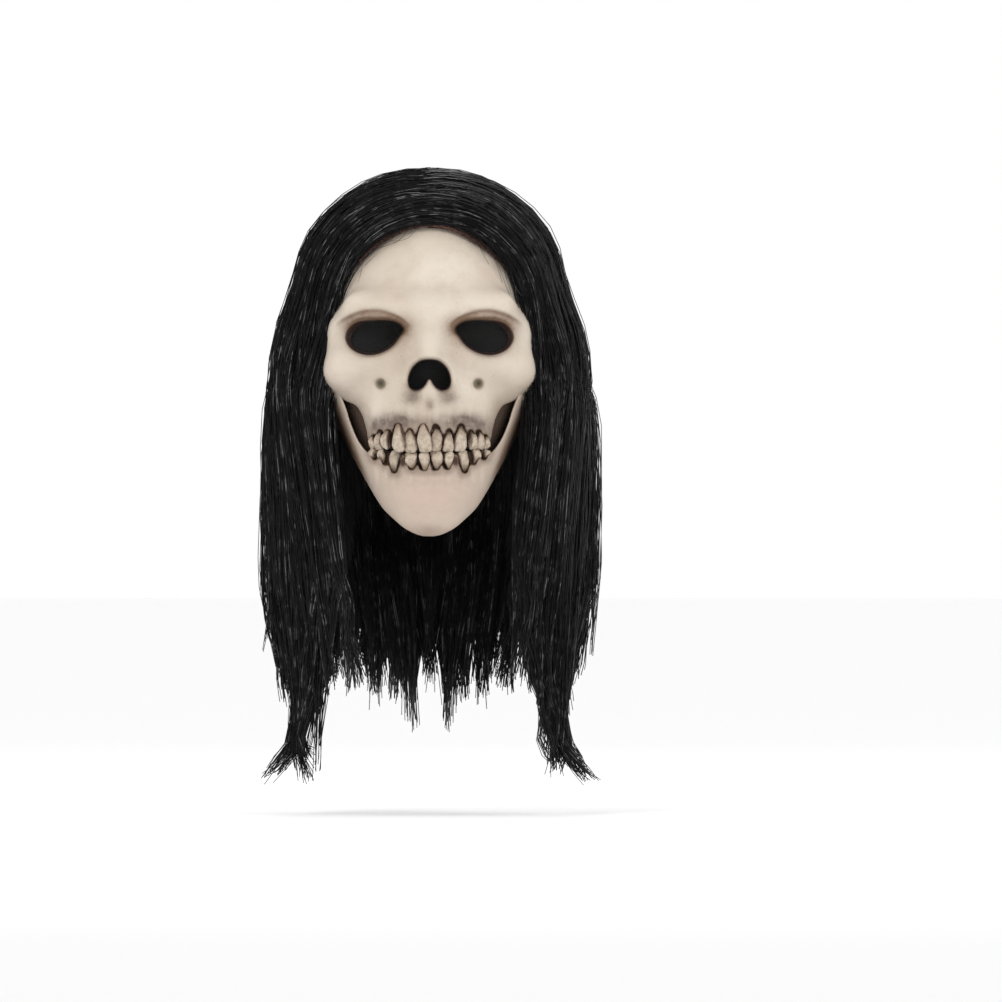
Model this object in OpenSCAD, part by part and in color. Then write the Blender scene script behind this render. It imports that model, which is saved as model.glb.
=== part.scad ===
// Long-haired skull mask: a moulded latex face with a hinged lower jaw, set teeth, gauze screens
// behind the openings, and a wig of hair wefts sewn to a stretch cap.
// Frame: +Z up, the face looks towards -Y, and +X is the wearer's left.
// The origin is the middle of the jaw's hinge axis, between the wearer's ears.

/* [Head] */
// Half the width of the head space at the ears
head_half_w = 59.4; // [58.8:0.1:60.4]
// Ear axis to the inside of the forehead
head_front = 68.4; // [66:0.2:70]
// Ear axis to the inside of the cap at the back
head_back = 80; // [78:1:82]
// Ear axis to the inside of the crown
head_top = 87; // [86:0.5:88]

/* [Latex] */
// Thickness of the latex skin
skin_t = 1.6; // [1.2:0.1:1.8]
// Height of the front hairline above the ear axis
hairline_z = 71; // [68:0.5:74]
// Bottom edge of the upper face, behind the upper teeth
upper_edge_z = -37.6; // [-38:0.1:-37]
// Top edge of the jaw, behind the lower teeth
jaw_edge_z = -39; // [-40:0.1:-38.6]
// Bottom of the chin
chin_z = -78; // [-79:0.5:-76]
// How far the teeth stand out of the gum
tooth_t = 4; // [3:0.1:4.2]

/* [Jaw hinge] */
// Radius of the rivet's shank
rivet_r = 2.5; // [2:0.1:3]
// Running clearance of the jaw washer on the shank, on the radius
rivet_gap = 0.06; // [0.03:0.01:0.09]
// Radius of the rivet's head and of its washers
rivet_head_r = 5; // [4.5:0.1:5.5]

/* [Hair] */
// Half the width over the hair at the ears
hair_half_w = 75; // [74:0.5:77]
// Ear axis to the outside of the hair at the back
hair_back = 91; // [90:0.5:93]
// Top of the hair
hair_top = 97.5; // [96:0.5:99]
// Lowest tips of the front locks
lock_tip_z = -202.5; // [-210:0.5:-190]
// Lower edge of the hair on the back
back_tip_z = -160; // [-165:1:-150]

/* [Hidden] */
// Upper teeth, from the wearer's right to the left: middle x, width, top z, bottom z
UPPER_TEETH = [
    [-28.6, 3.8, -28.4, -33.6], [-24.4, 3.6, -29.2, -37.2], [-20.2, 3.8, -28.8, -36],
    [-15.2, 5.8, -25.8, -38], [-9.3, 5.2, -27.2, -38], [-3.2, 6.2, -25.2, -38],
    [3.5, 5.6, -25.8, -38], [9, 4.6, -27.8, -38], [14.6, 5.8, -25.6, -38],
    [19.8, 3.8, -28.8, -35.6], [24, 3.8, -29.2, -37.2], [28.2, 3.8, -28.8, -33.6]];
// Lower teeth, from the wearer's right to the left: middle x, width, top z, bottom z
LOWER_TEETH = [
    [-26.2, 3.4, -38.6, -42.4], [-21.6, 3.4, -38.6, -44], [-17.2, 4, -38.6, -48.6],
    [-8.6, 5.4, -39.2, -46.8], [-2.6, 4.4, -38.8, -46.8], [3, 5.2, -38.8, -47.4],
    [8.8, 4.2, -38.8, -47.8], [17.2, 3.8, -38.6, -48.6], [21.4, 3.4, -38.6, -44.8],
    [26, 3, -38.6, -41.4]];
SIDES = ["left", "right"];
TRACKS = 5;

bone = [0.83, 0.78, 0.70];
tooth_gap = 0.3;            // between the latex and the back of a tooth
tooth_colour = [0.80, 0.72, 0.60];
hair_colour = [0.05, 0.05, 0.055];
gauze_colour = [0.03, 0.03, 0.03];
band_colour = [0.20, 0.12, 0.09];
lining_colour = [0.22, 0.14, 0.09];
rivet_colour = [0.75, 0.74, 0.72];

flat_x = 58.8;              // inside of the flat patch that the hinge needs on each side
round_power = 2 / 2.3;      // makes the dome a little fuller than an ellipse
screen_r = [-2.4, -1.6];      // the gauze screens, outwards from the head space
cap_r = [2.1, 2.9];         // the wig cap
track_r = [3.4, 4.1];       // what is sewn on the cap
hair_r = 5.1;               // where the hair begins
lock_plane_y = 17.5;        // the front locks end here, and the back hair starts 1 mm behind
crown_edge_z = 16;          // lower edge of the crown hair, above the ears
lock_top_z = 12.5;          // upper end of the front locks
hair_equator_z = -20;       // the hair is widest from here down
hair_front = 80;            // ear axis to the outside of the hair over the forehead
jaw_flat_x = 58.4;          // outside of the jaw's own flat patch, beside the hinge
rivet_end_x = 54.2;         // inner end of the rivet's shank
washer_t = 0.9;
nape_z = -42;               // lower edge of the cap at the back
strap_centre_y = 18;        // the nape strap lies on a true circle about this point
strap_r = 51.3;
strap_z = -46.6;

function mix(a, b, t) = a + (b - a) * t;
function clamp(v, lo, hi) = min(max(v, lo), hi);
function smooth(t) = let (c = clamp(t, 0, 1)) c * c * (3 - 2 * c);
function bump(x, z, cx, cz, sx, sz) = exp(-pow((x - cx) / sx, 2) - pow((z - cz) / sz, 2));
function both(x, z, cx, cz, sx, sz) = bump(x, z, cx, cz, sx, sz) + bump(x, z, -cx, cz, sx, sz);

// Row value s is a height in mm below the ear axis, and a latitude in degrees above it
function row_z(s, top) = s < 0 ? s : top * sin(s);
function row_k(s) = s < 0 ? 1 : pow(cos(s), round_power);
function row_of(z, top) = z < 0 ? z : asin(clamp(z / top, 0, 1));

// The nape draws in below the back of the head
function back_depth(s) = head_back - (s < 0 ? 11 * smooth(-s / 42) : 0);

// A point r mm outside the head space; a is 0 at the face and 180 at the back
function hood(a, s, r) =
    let (k = row_k(s), d = cos(a) > 0 ? head_front : back_depth(s))
    [(head_half_w + r) * k * sin(a), -(d + r) * k * cos(a), row_z(s, head_top + r)];

// The skull's relief on the face, in mm outwards
function relief(x, z) =
    3 * both(x, z, 22, 27, 15, 5)
    - 7.5 * both(x, z, 26.5, 16.5, 13, 8)
    + 4.5 * bump(x, z, 0, 7, 7, 13)
    + 4 * both(x, z, 43, -1, 11, 8)
    + 4.5 * bump(x, z, 0, -31, 22, 17)
    - 4 * both(x, z, 39, -27, 9, 13)
    - 2.5 * both(x, z, 50, 42, 9, 14);

function face_point(a, z, r) =
    let (s = row_of(z, head_top + r), p = hood(a, s, r), push = relief(p[0], z) * smooth((cos(a) - 0.1) / 0.5),
         x = p[0] + push * sin(a))
    [sign(x) * min(abs(x), flat_x + r), p[1] - push * cos(a), z];

// Lower edge of the upper face: behind the teeth, up round the cheekbone, and back to the ear
function face_low(a) = let (b = abs(a))
    b < 29 ? upper_edge_z
    : b < 35 ? mix(upper_edge_z, -17, (b - 29) / 6)
    : b < 56 ? mix(-17, -7, (b - 35) / 21)
    : mix(-7, -10, smooth((b - 56) / 25));
function face_high(a) = mix(78, 52, smooth((abs(a) - 20) / 80));

// Where the hair ends on the face
function hairline(a) = abs(a) >= 57 ? 20 : 20 + (hairline_z - 20) * pow(1 - pow(a / 57, 2), 0.6);

// The jaw: half its width, its front and its middle at a height
function jaw_w(z) = let (t = clamp((-60 - z) / 18.5, 0, 0.999))
    z > -60 ? min(jaw_flat_x + 0.35, 62.16 + 0.592 * z) : 26.6 * pow(1 - pow(t, 1.3), 0.7);
function jaw_mid(z) = 0.62 * z;
function jaw_front(z) = -69.5 - 3.2 * bump(0, z, 0, -42, 1, 9) - 4.4 * bump(0, z, 0, -66, 1, 9)
    + 3.5 * smooth((-70 - z) / 8) + 1.5 * bump(0, z, 0, -54, 1, 5);
function jaw_point(a, z, r) =
    let (w = jaw_w(z) - r, d = jaw_mid(z) - jaw_front(z) - r, x = w * sin(a))
    [clamp(x, r - jaw_flat_x, jaw_flat_x - r), jaw_mid(z) - d * cos(a), z];
function jaw_high(a) = let (b = abs(a))
    b < 49 ? jaw_edge_z : mix(jaw_edge_z, 8, smooth((b - 49) / 9));
// The strip behind the gap stops short of the hinge
function jaw_low(a) = mix(chin_z + 0.6, -30, pow(smooth((abs(a) - 45) / 45), 2));

// Outside of the hair above the ears; s is a latitude from the hair's widest level
function hair_point(a, s) =
    let (k = pow(cos(s), round_power), d = cos(a) > 0 ? hair_front : hair_back)
    [hair_half_w * k * sin(a), -d * k * cos(a), hair_equator_z + (hair_top - hair_equator_z) * sin(s)];
function hair_row(z) = asin(clamp((z - hair_equator_z) / (hair_top - hair_equator_z), 0, 1));

// A sheet with a front and a back, each a grid of points, closed round its edge.
// Its triangles lean the other way in each half, so a sheet across the middle plane is symmetric.
module thick_sheet(front, back) {
    rows = len(front);
    cols = len(front[0]);
    n = rows * cols;
    points = concat([for (r = front) each r], [for (r = back) each r]);
    skin = [for (i = [0:rows - 2], j = [0:cols - 2]) let (k = i * cols + j)
        each j < cols / 2 - 1
            ? [[k, k + cols, k + cols + 1], [k, k + cols + 1, k + 1]]
            : [[k, k + cols, k + 1], [k + 1, k + cols, k + cols + 1]]];
    lining = [for (f = skin) [f[0] + n, f[2] + n, f[1] + n]];
    rim = concat(
        [for (j = [0:cols - 1]) j],
        [for (i = [1:rows - 1]) i * cols + cols - 1],
        [for (j = [cols - 2:-1:0]) (rows - 1) * cols + j],
        [for (i = [rows - 2:-1:1]) i * cols]);
    edge = [for (i = [0:len(rim) - 1]) let (p = rim[i], q = rim[(i + 1) % len(rim)])
        each [[p, q, p + n], [q, q + n, p + n]]];
    polyhedron(points, concat(skin, lining, edge));
}

// A dome with a pole at the top of each side, closed round its lower edge
module thick_dome(outside, outside_pole, inside, inside_pole) {
    rows = len(outside);
    cols = len(outside[0]);
    n = rows * cols;
    points = concat([for (r = outside) each r], [for (r = inside) each r], [outside_pole, inside_pole]);
    skin = concat(
        [for (i = [0:rows - 2], j = [0:cols - 1]) let (k = i * cols, m = (j + 1) % cols)
            each [[k + j, k + cols + j, k + m], [k + m, k + cols + j, k + cols + m]]],
        [for (j = [0:cols - 1]) [(rows - 1) * cols + j, 2 * n, (rows - 1) * cols + (j + 1) % cols]]);
    lining = [for (f = skin) [for (k = [f[0], f[2], f[1]]) k == 2 * n ? 2 * n + 1 : k + n]];
    edge = [for (j = [0:cols - 1]) let (m = (j + 1) % cols)
        each [[j, m, j + n], [m, m + n, j + n]]];
    polyhedron(points, concat(skin, lining, edge));
}

// Sizes of zero leave the shape as it is, and make the cut skin one mesh
module one_mesh() {
    resize([0, 0, 0]) children();
}

module on_side(side) {
    mirror([side == "right" ? 1 : 0, 0, 0]) children();
}

module along_x(x, r, length) {
    translate([x, 0, 0]) rotate([0, 90, 0]) cylinder(h = length, r = r, $fn = 48);
}

// Outline of the wearer's left eye, seen from the front
module eye_outline(grow) {
    offset(r = grow) hull() {
        translate([32.6, 17.2]) circle(r = 7.6, $fn = 32);
        translate([27, 15.6]) circle(r = 7, $fn = 32);
        translate([30, 23.4]) circle(r = 1.8, $fn = 24);
        translate([14, 21.35]) circle(r = 2, $fn = 24);
    }
}

// Outline of the nose opening: two lobes with the septum's point between them
module nose_outline() {
    difference() {
        hull() {
            translate([0, 1.4]) circle(r = 5.2, $fn = 32);
            translate([-5.6, -3.6]) circle(r = 5, $fn = 32);
            translate([5.6, -3.6]) circle(r = 5, $fn = 32);
        }
        polygon([[-3.4, -12], [0, -4.2], [3.4, -12]]);
    }
}

// Sends an outline seen from the front straight through the face
module through_face() {
    translate([0, -30, 0]) rotate([90, 0, 0]) linear_extrude(70) children();
}

module face_skin() {
    cols = 45;
    rows = 26;
    grid = [for (r = [skin_t, 0]) [for (i = [0:rows]) [for (j = [0:cols])
        let (a = mix(-104, 104, j / cols), z = mix(face_low(a), face_high(a), i / rows))
        face_point(a, z, r)]]];
    color(bone) one_mesh() difference() {
        thick_sheet(grid[1], grid[0]);
        for (side = SIDES) on_side(side) {
            through_face() eye_outline(0);
            along_x(40, rivet_r + 0.7, 40);
        }
        through_face() nose_outline();
    }
}

module jaw_skin() {
    cols = 33;
    rows = 13;
    grid = [for (r = [0, skin_t]) [for (i = [0:rows]) [for (j = [0:cols])
        let (a = mix(-96, 96, j / cols), z = mix(jaw_low(a), jaw_high(a), i / rows))
        jaw_point(a, z, r)]]];
    color(bone) one_mesh() difference() {
        thick_sheet(grid[1], grid[0]);
        for (side = SIDES) on_side(side) along_x(40, rivet_r + 0.7, 40);
    }
}

// A patch that follows the face between two offsets
module face_patch(a, z, r, cols, rows) {
    grid = [for (t = r) [for (i = [0:rows]) [for (j = [0:cols])
        face_point(mix(a[0], a[1], j / cols), mix(z[0], z[1], i / rows), t)]]];
    thick_sheet(grid[0], grid[1]);
}

module eye_screen(side) {
    color(gauze_colour) on_side(side) face_patch([9.5, 48], [8.1, 27.6], screen_r, 9, 6);
}

module nose_screen() {
    color(gauze_colour) face_patch([-11.5, 11.5], [-11.5, 8], screen_r, 8, 5);
}

// The dark gauze lining that closes the cheek behind the jaw
module jaw_lining(side) {
    rows = 7;
    cols = 6;
    grid = [for (t = [7.4, 6.2]) [for (i = [0:rows]) [for (j = [0:cols])
        let (a = mix(46, 74, j / cols), z = mix(-38, -9.5, i / rows)) jaw_point(a, z, t)]]];
    color(lining_colour) on_side(side) thick_sheet(grid[0], grid[1]);
}

// A tooth as a lofted peg, from its root to its edge
module tooth_peg(width, height) {
    rings = [[0, 0.34, 0.5], [0.22, 0.74, 0.86], [0.6, 1, 1], [0.86, 0.86, 0.8], [1, 0.5, 0.46]];
    sides = 10;
    points = [for (g = rings) for (i = [0:sides - 1]) let (b = 360 * i / sides)
        [width / 2 * g[1] * cos(b), -tooth_t / 2 * (1 + g[2] * sin(b)), height * g[0]]];
    n = len(rings);
    faces = concat(
        [for (k = [0:n - 2], i = [0:sides - 1]) let (m = (i + 1) % sides)
            each [[k * sides + i, k * sides + m, (k + 1) * sides + i],
                  [k * sides + m, (k + 1) * sides + m, (k + 1) * sides + i]]],
        [for (i = [1:sides - 2]) [0, i + 1, i]],
        [for (i = [1:sides - 2]) [(n - 1) * sides, (n - 1) * sides + i, (n - 1) * sides + i + 1]]);
    polyhedron(points, [for (f = faces) [f[0], f[2], f[1]]]);
}

module upper_tooth(i) {
    t = UPPER_TEETH[i - 1];
    middle = (t[2] + t[3]) / 2;
    a = asin(clamp(t[0] / (head_half_w + skin_t + 4), -1, 1));
    back = max([for (z = [t[2], middle, t[3]]) -face_point(a, z, skin_t)[1]]);
    color(tooth_colour) translate([t[0], -back - tooth_gap, t[2]]) rotate([0, 0, a])
        mirror([0, 0, 1]) tooth_peg(t[1], t[2] - t[3]);
}

module lower_tooth(i) {
    t = LOWER_TEETH[i - 1];
    a = asin(clamp(t[0] / jaw_w(-42), -1, 1));
    back = max([for (z = [t[2], (t[2] + t[3]) / 2, t[3]]) -jaw_point(asin(clamp(t[0] / jaw_w(z), -1, 1)), z, 0)[1]]);
    color(tooth_colour) translate([t[0], -back - tooth_gap, t[3]]) rotate([0, 0, a * 0.8])
        tooth_peg(t[1], t[2] - t[3]);
}

// Snap rivet, from outside: its head lies on the face skin and its shank goes through the jaw
module jaw_rivet(side) {
    color(rivet_colour) on_side(side) {
        along_x(flat_x + skin_t + 0.05, rivet_head_r, 1.1);
        along_x(rivet_end_x, rivet_r, flat_x + skin_t + 0.2 - rivet_end_x);
    }
}

module rivet_cap(side) {
    color(rivet_colour) on_side(side) difference() {
        along_x(rivet_end_x + 0.1, rivet_head_r, washer_t);
        along_x(50, rivet_r, 10);
    }
}

module jaw_washer(side) {
    color(rivet_colour) on_side(side) difference() {
        along_x(rivet_end_x + 1.2, rivet_head_r + 1, washer_t);
        along_x(50, rivet_r + rivet_gap, 10);
    }
}

// Lower edge of the cap: behind the hairline, over the ears and down to the nape
function cap_edge(a) = let (b = abs(a))
    b < 66 ? max(hairline(min(b, 56)) + 3, 22)
    : b < 110 ? 22
    : mix(22, nape_z, smooth((b - 110) / 38));

module hood_dome(cols, rows, r, edge) {
    rings = [for (t = r) [for (i = [0:rows - 1]) [for (j = [0:cols - 1])
        let (a = -180 + 360 * j / cols, s = mix(row_of(edge[j], head_top + t), 90, i / rows))
        hood(a, s, t)]]];
    thick_dome(rings[1], [0, 0, head_top + r[1]], rings[0], [0, 0, head_top + r[0]]);
}

module wig_cap() {
    cols = 48;
    edge = [for (j = [0:cols - 1]) cap_edge(-180 + 360 * j / cols)];
    color(hair_colour) hood_dome(cols, 11, cap_r, edge);
}

// A strip sewn on the cap, between two angles, from one edge height to another
module sewn_strip(from, to, cols, low, high) {
    grid = [for (r = [track_r[1], track_r[0]]) [for (e = [low, high]) [for (j = [0:cols])
        let (a = mix(from, to, j / cols), z = e[j]) hood(a, row_of(z, head_top + r), r)]]];
    thick_sheet(grid[1], grid[0]);
}

module hairline_band() {
    cols = 34;
    low = [for (j = [0:cols]) hairline(mix(-56, 56, j / cols)) + 0.5];
    high = [for (e = low) min(e + 8, 81)];
    color(band_colour) sewn_strip(-56, 56, cols, low, high);
}

module weft_track(i) {
    cols = 30;
    z = [-30, -12, 8, 30, 52][i - 1];
    reach = [40, 50, 57, 104, 108][i - 1];
    color(hair_colour) sewn_strip(180 - reach, 180 + reach, cols,
        [for (j = [0:cols]) z], [for (j = [0:cols]) z + 5]);
}

module crown_hair() {
    cols = 48;
    rows = 10;
    edge = [for (j = [0:cols - 1]) let (a = -180 + 360 * j / cols)
        abs(a) < 57 ? max(hairline(a) - 1, crown_edge_z) : crown_edge_z];
    inner = [for (i = [0:rows - 1]) [for (j = [0:cols - 1]) let (a = -180 + 360 * j / cols)
        hood(a, mix(row_of(edge[j], head_top + hair_r), 90, i / rows), hair_r)]];
    outer = [for (i = [0:rows - 1]) [for (j = [0:cols - 1]) let (a = -180 + 360 * j / cols)
        hair_point(a, mix(hair_row(edge[j] + 1), 90, i / rows))]];
    color(hair_colour) thick_dome(outer, [0, 0, hair_top], inner, [0, 0, head_top + hair_r]);
}

// Front lock: outside and inside half-widths, and front and back, at each height
LOCK_ROWS = [
    [lock_top_z, 74, 64, -38, lock_plane_y], [-12, 76, 64, -42, lock_plane_y],
    [-45, 78, 64, -44, lock_plane_y], [-80, 79.5, 60, -46, lock_plane_y],
    [-110, 81, 56, -46, 14], [-140, 78, 50, -42, 8],
    [-160, 76, 50, -38, 0], [-180, 75, 53, -32, -8], [lock_tip_z, 83, 66, -26, -16]];

module front_lock(side) {
    cols = 9;
    function drop(y, depth) = y > 0 ? 1 : sqrt(1 - pow(y / depth, 2));
    outer = [for (r = LOCK_ROWS) [for (j = [0:cols]) let (y = mix(r[3], r[4], j / cols))
        [r[1] * drop(y, 86), y, r[0]]]];
    inner = [for (r = LOCK_ROWS) [for (j = [0:cols]) let (y = mix(r[3], r[4], j / cols))
        [r[2] * drop(y, 76), y, r[0]]]];
    color(hair_colour) on_side(side) thick_sheet(outer, inner);
}

// Hair that hangs behind: a curved curtain, given as rows of z, then outside and inside radii
module curtain(reach, cols, rows) {
    function ring(r, w, b) = [for (j = [0:cols]) let (a = mix(180 - reach, 180 + reach, j / cols))
        [r[w] * sin(a), -r[b] * cos(a), r[0]]];
    thick_sheet([for (r = rows) ring(r, 1, 2)], [for (r = rows) ring(r, 3, 4)]);
}

module back_hair() {
    color(hair_colour) curtain(76.5, 24, [
        [crown_edge_z - 0.6, hair_half_w - 1, hair_back, head_half_w + hair_r + 0.5, head_back + hair_r + 1],
        [-20, 76, hair_back + 1, 64, 84.5], [-50, 77, hair_back, 64, 82],
        [-90, 77, 88, 66, 80], [-130, 74, 86, 65, 79], [back_tip_z + 10, 70, 83, 65, 79]]);
}

module nape_hair() {
    color(hair_colour) curtain(66, 18, [
        [-52, 62, 77, 56, 71.5], [-80, 64, 78, 55, 69],
        [-120, 63.5, 77, 54, 67], [back_tip_z, 60, 74, 56, 69]]);
}

// A piece of a ring about the strap's centre, behind the neck
module strap_arc(half_angle, t, h) {
    translate([0, strap_centre_y, strap_z]) rotate([0, 0, 90 - half_angle])
        rotate_extrude(angle = 2 * half_angle, $fn = 96)
            translate([strap_r, 0]) square([t, h], center = true);
}

module nape_strap() {
    color(gauze_colour) strap_arc(36, 0.9, 6);
}

// The slider is a loop round the strap, with room for it to slide
module nape_slider() {
    color(rivet_colour) difference() {
        strap_arc(5, 2.4, 7.8);
        strap_arc(8, 1.2, 6.3);
    }
}

face_skin();
jaw_skin();
nose_screen();
for (side = SIDES) {
    eye_screen(side);
    jaw_lining(side);
    jaw_rivet(side);
    rivet_cap(side);
    jaw_washer(side);
    front_lock(side);
}
for (i = [1:len(UPPER_TEETH)]) upper_tooth(i);
for (i = [1:len(LOWER_TEETH)]) lower_tooth(i);
for (i = [1:TRACKS]) weft_track(i);
wig_cap();
hairline_band();
crown_hair();
back_hair();
nape_hair();
nape_strap();
nape_slider();
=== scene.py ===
import math
import bpy
import numpy as np
import openvdb
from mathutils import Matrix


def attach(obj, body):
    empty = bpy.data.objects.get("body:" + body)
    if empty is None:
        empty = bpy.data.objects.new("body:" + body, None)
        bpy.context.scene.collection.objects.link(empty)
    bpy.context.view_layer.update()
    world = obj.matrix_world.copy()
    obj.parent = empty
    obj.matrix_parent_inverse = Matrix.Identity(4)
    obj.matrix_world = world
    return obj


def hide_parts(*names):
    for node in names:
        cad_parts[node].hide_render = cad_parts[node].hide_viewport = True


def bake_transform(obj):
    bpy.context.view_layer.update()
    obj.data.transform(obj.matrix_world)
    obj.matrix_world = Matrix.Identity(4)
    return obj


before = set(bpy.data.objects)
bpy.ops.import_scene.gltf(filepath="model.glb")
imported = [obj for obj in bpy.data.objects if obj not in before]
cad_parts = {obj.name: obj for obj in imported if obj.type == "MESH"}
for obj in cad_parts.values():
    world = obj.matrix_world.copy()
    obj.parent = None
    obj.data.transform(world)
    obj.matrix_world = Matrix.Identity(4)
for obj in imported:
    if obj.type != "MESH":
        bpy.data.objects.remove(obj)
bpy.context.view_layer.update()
mm = 0.001

studio = {
    "framed": 0.4884,        # width of the picture, at the middle of the mask
    "distance": 9.0,
    "height": -0.0629,
    "shiftX": 0.0714,
    "floor": -0.216,
    "keyPower": 7.6,
    "sky": 1.0,              # light from all round
}


def placeCamera():
    data = bpy.data.cameras.new("camera")
    data.sensor_width = 36
    data.lens = 36 * studio["distance"] / studio["framed"]
    data.shift_x = studio["shiftX"]
    data.clip_end = 50
    cam = bpy.data.objects.new("camera", data)
    cam.location = (0, -studio["distance"] - 0.03, studio["height"])
    cam.rotation_euler = (math.pi / 2, 0, 0)
    bpy.context.scene.collection.objects.link(cam)
    bpy.context.scene.camera = cam


def softLamp(name, place, aim, size, power):
    data = bpy.data.lights.new(name, "AREA")
    data.shape = "DISK"
    data.size = size
    data.energy = power
    lamp = bpy.data.objects.new(name, data)
    lamp.location = place
    away = np.array(place) - np.array(aim)
    lamp.rotation_euler = (math.acos(away[2] / np.linalg.norm(away)), 0, math.atan2(away[0], -away[1]))
    bpy.context.scene.collection.objects.link(lamp)


def lightStudio():
    power = studio["keyPower"]
    softLamp("keyLamp", (-0.55, -1.3, 1.15), (0, 0, 0), 0.6, power)
    softLamp("fillLamp", (0.85, -1.3, 0.45), (0, 0, -0.05), 0.7, power * 0.45)
    softLamp("backLamp", (0, 1.4, 1.2), (0, 0, 0), 0.7, power * 0.5)
    world = bpy.data.worlds.new("studioAir")
    world.use_nodes = True
    shade = world.node_tree.nodes["Background"]
    shade.inputs["Color"].default_value = (1, 1, 1, 1)
    shade.inputs["Strength"].default_value = studio["sky"]
    bpy.context.scene.world = world
    bpy.context.scene.view_settings.view_transform = "Standard"


print("camera and lights")
placeCamera()
lightStudio()


class Wire:                             # a socket that takes part in sums
    def __init__(self, paint, socket):
        self.paint = paint
        self.socket = socket

    def sum(self, operation, first, second=0.0):
        return self.paint.node("ShaderNodeMath", {"operation": operation}, {0: first, 1: second})

    def __add__(self, other):
        return self.sum("ADD", self, other)

    def __radd__(self, other):
        return self.sum("ADD", other, self)

    def __sub__(self, other):
        return self.sum("SUBTRACT", self, other)

    def __rsub__(self, other):
        return self.sum("SUBTRACT", other, self)

    def __mul__(self, other):
        return self.sum("MULTIPLY", self, other)

    def __rmul__(self, other):
        return self.sum("MULTIPLY", other, self)

    def __pow__(self, other):
        return self.sum("POWER", self, other)

    def over(self, low, high):      # 0 below low, 1 above high, smooth between
        return self.paint.node("ShaderNodeMapRange", {"interpolation_type": "SMOOTHSTEP"},
                               {"Value": self, "From Min": low, "From Max": high})

    def clipped(self):
        return self.sum("MINIMUM", self.sum("MAXIMUM", self, 0.0), 1.0)


class Paint:                            # a material that is written as expressions
    def __init__(self, name):
        self.material = bpy.data.materials.new(name)
        self.material.use_nodes = True
        self.tree = self.material.node_tree
        self.shader = self.tree.nodes["Principled BSDF"]

    def node(self, kind, settings=None, sockets=None, out=0):
        made = self.tree.nodes.new(kind)
        for name, value in (settings or {}).items():
            setattr(made, name, value)
        for key, value in (sockets or {}).items():
            self.feed(made.inputs[key], value)
        return Wire(self, made.outputs[out])

    def feed(self, socket, value):
        if isinstance(value, Wire):
            self.tree.links.new(value.socket, socket)
        elif isinstance(value, (tuple, list)) and socket.type == "RGBA":
            socket.default_value = (*value[:3], 1)
        else:
            socket.default_value = value

    def place(self):
        return self.node("ShaderNodeTexCoord", out="Object")

    def attribute(self, name):
        return self.node("ShaderNodeAttribute", {"attribute_name": name}, out="Fac")

    def noise(self, scale, detail=3.0, rough=0.5, stretch=None):
        where = self.place()
        if stretch:
            where = self.node("ShaderNodeMapping", sockets={"Vector": where, "Scale": stretch})
        return self.node("ShaderNodeTexNoise", sockets={
            "Vector": where, "Scale": scale, "Detail": detail, "Roughness": rough})

    def mix(self, first, second, factor):
        return self.node("ShaderNodeMix", {"data_type": "RGBA"}, {0: factor, 6: first, 7: second}, out=2)

    def bump(self, height, strength, distance):
        return self.node("ShaderNodeBump", sockets={
            "Height": height, "Strength": strength, "Distance": distance})

    def finish(self, **sockets):
        for name, value in sockets.items():
            words = "".join(" " + c if c.isupper() else c for c in name).strip().replace("Ior", "IOR")
            self.feed(self.shader.inputs[words], value)
        return self.material


boneColours = {
    "ivory": (0.53, 0.455, 0.37),
    "pale": (0.62, 0.555, 0.475),
    "warm": (0.43, 0.335, 0.25),
    "pinkish": (0.50, 0.38, 0.315),
    "brown": (0.17, 0.105, 0.065),
    "socket": (0.034, 0.018, 0.014),
    "gum": (0.145, 0.108, 0.088),
    "crevice": (0.040, 0.020, 0.012),
    "olive": (0.085, 0.075, 0.040),
    "inside": (0.46, 0.38, 0.29),
}


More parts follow.
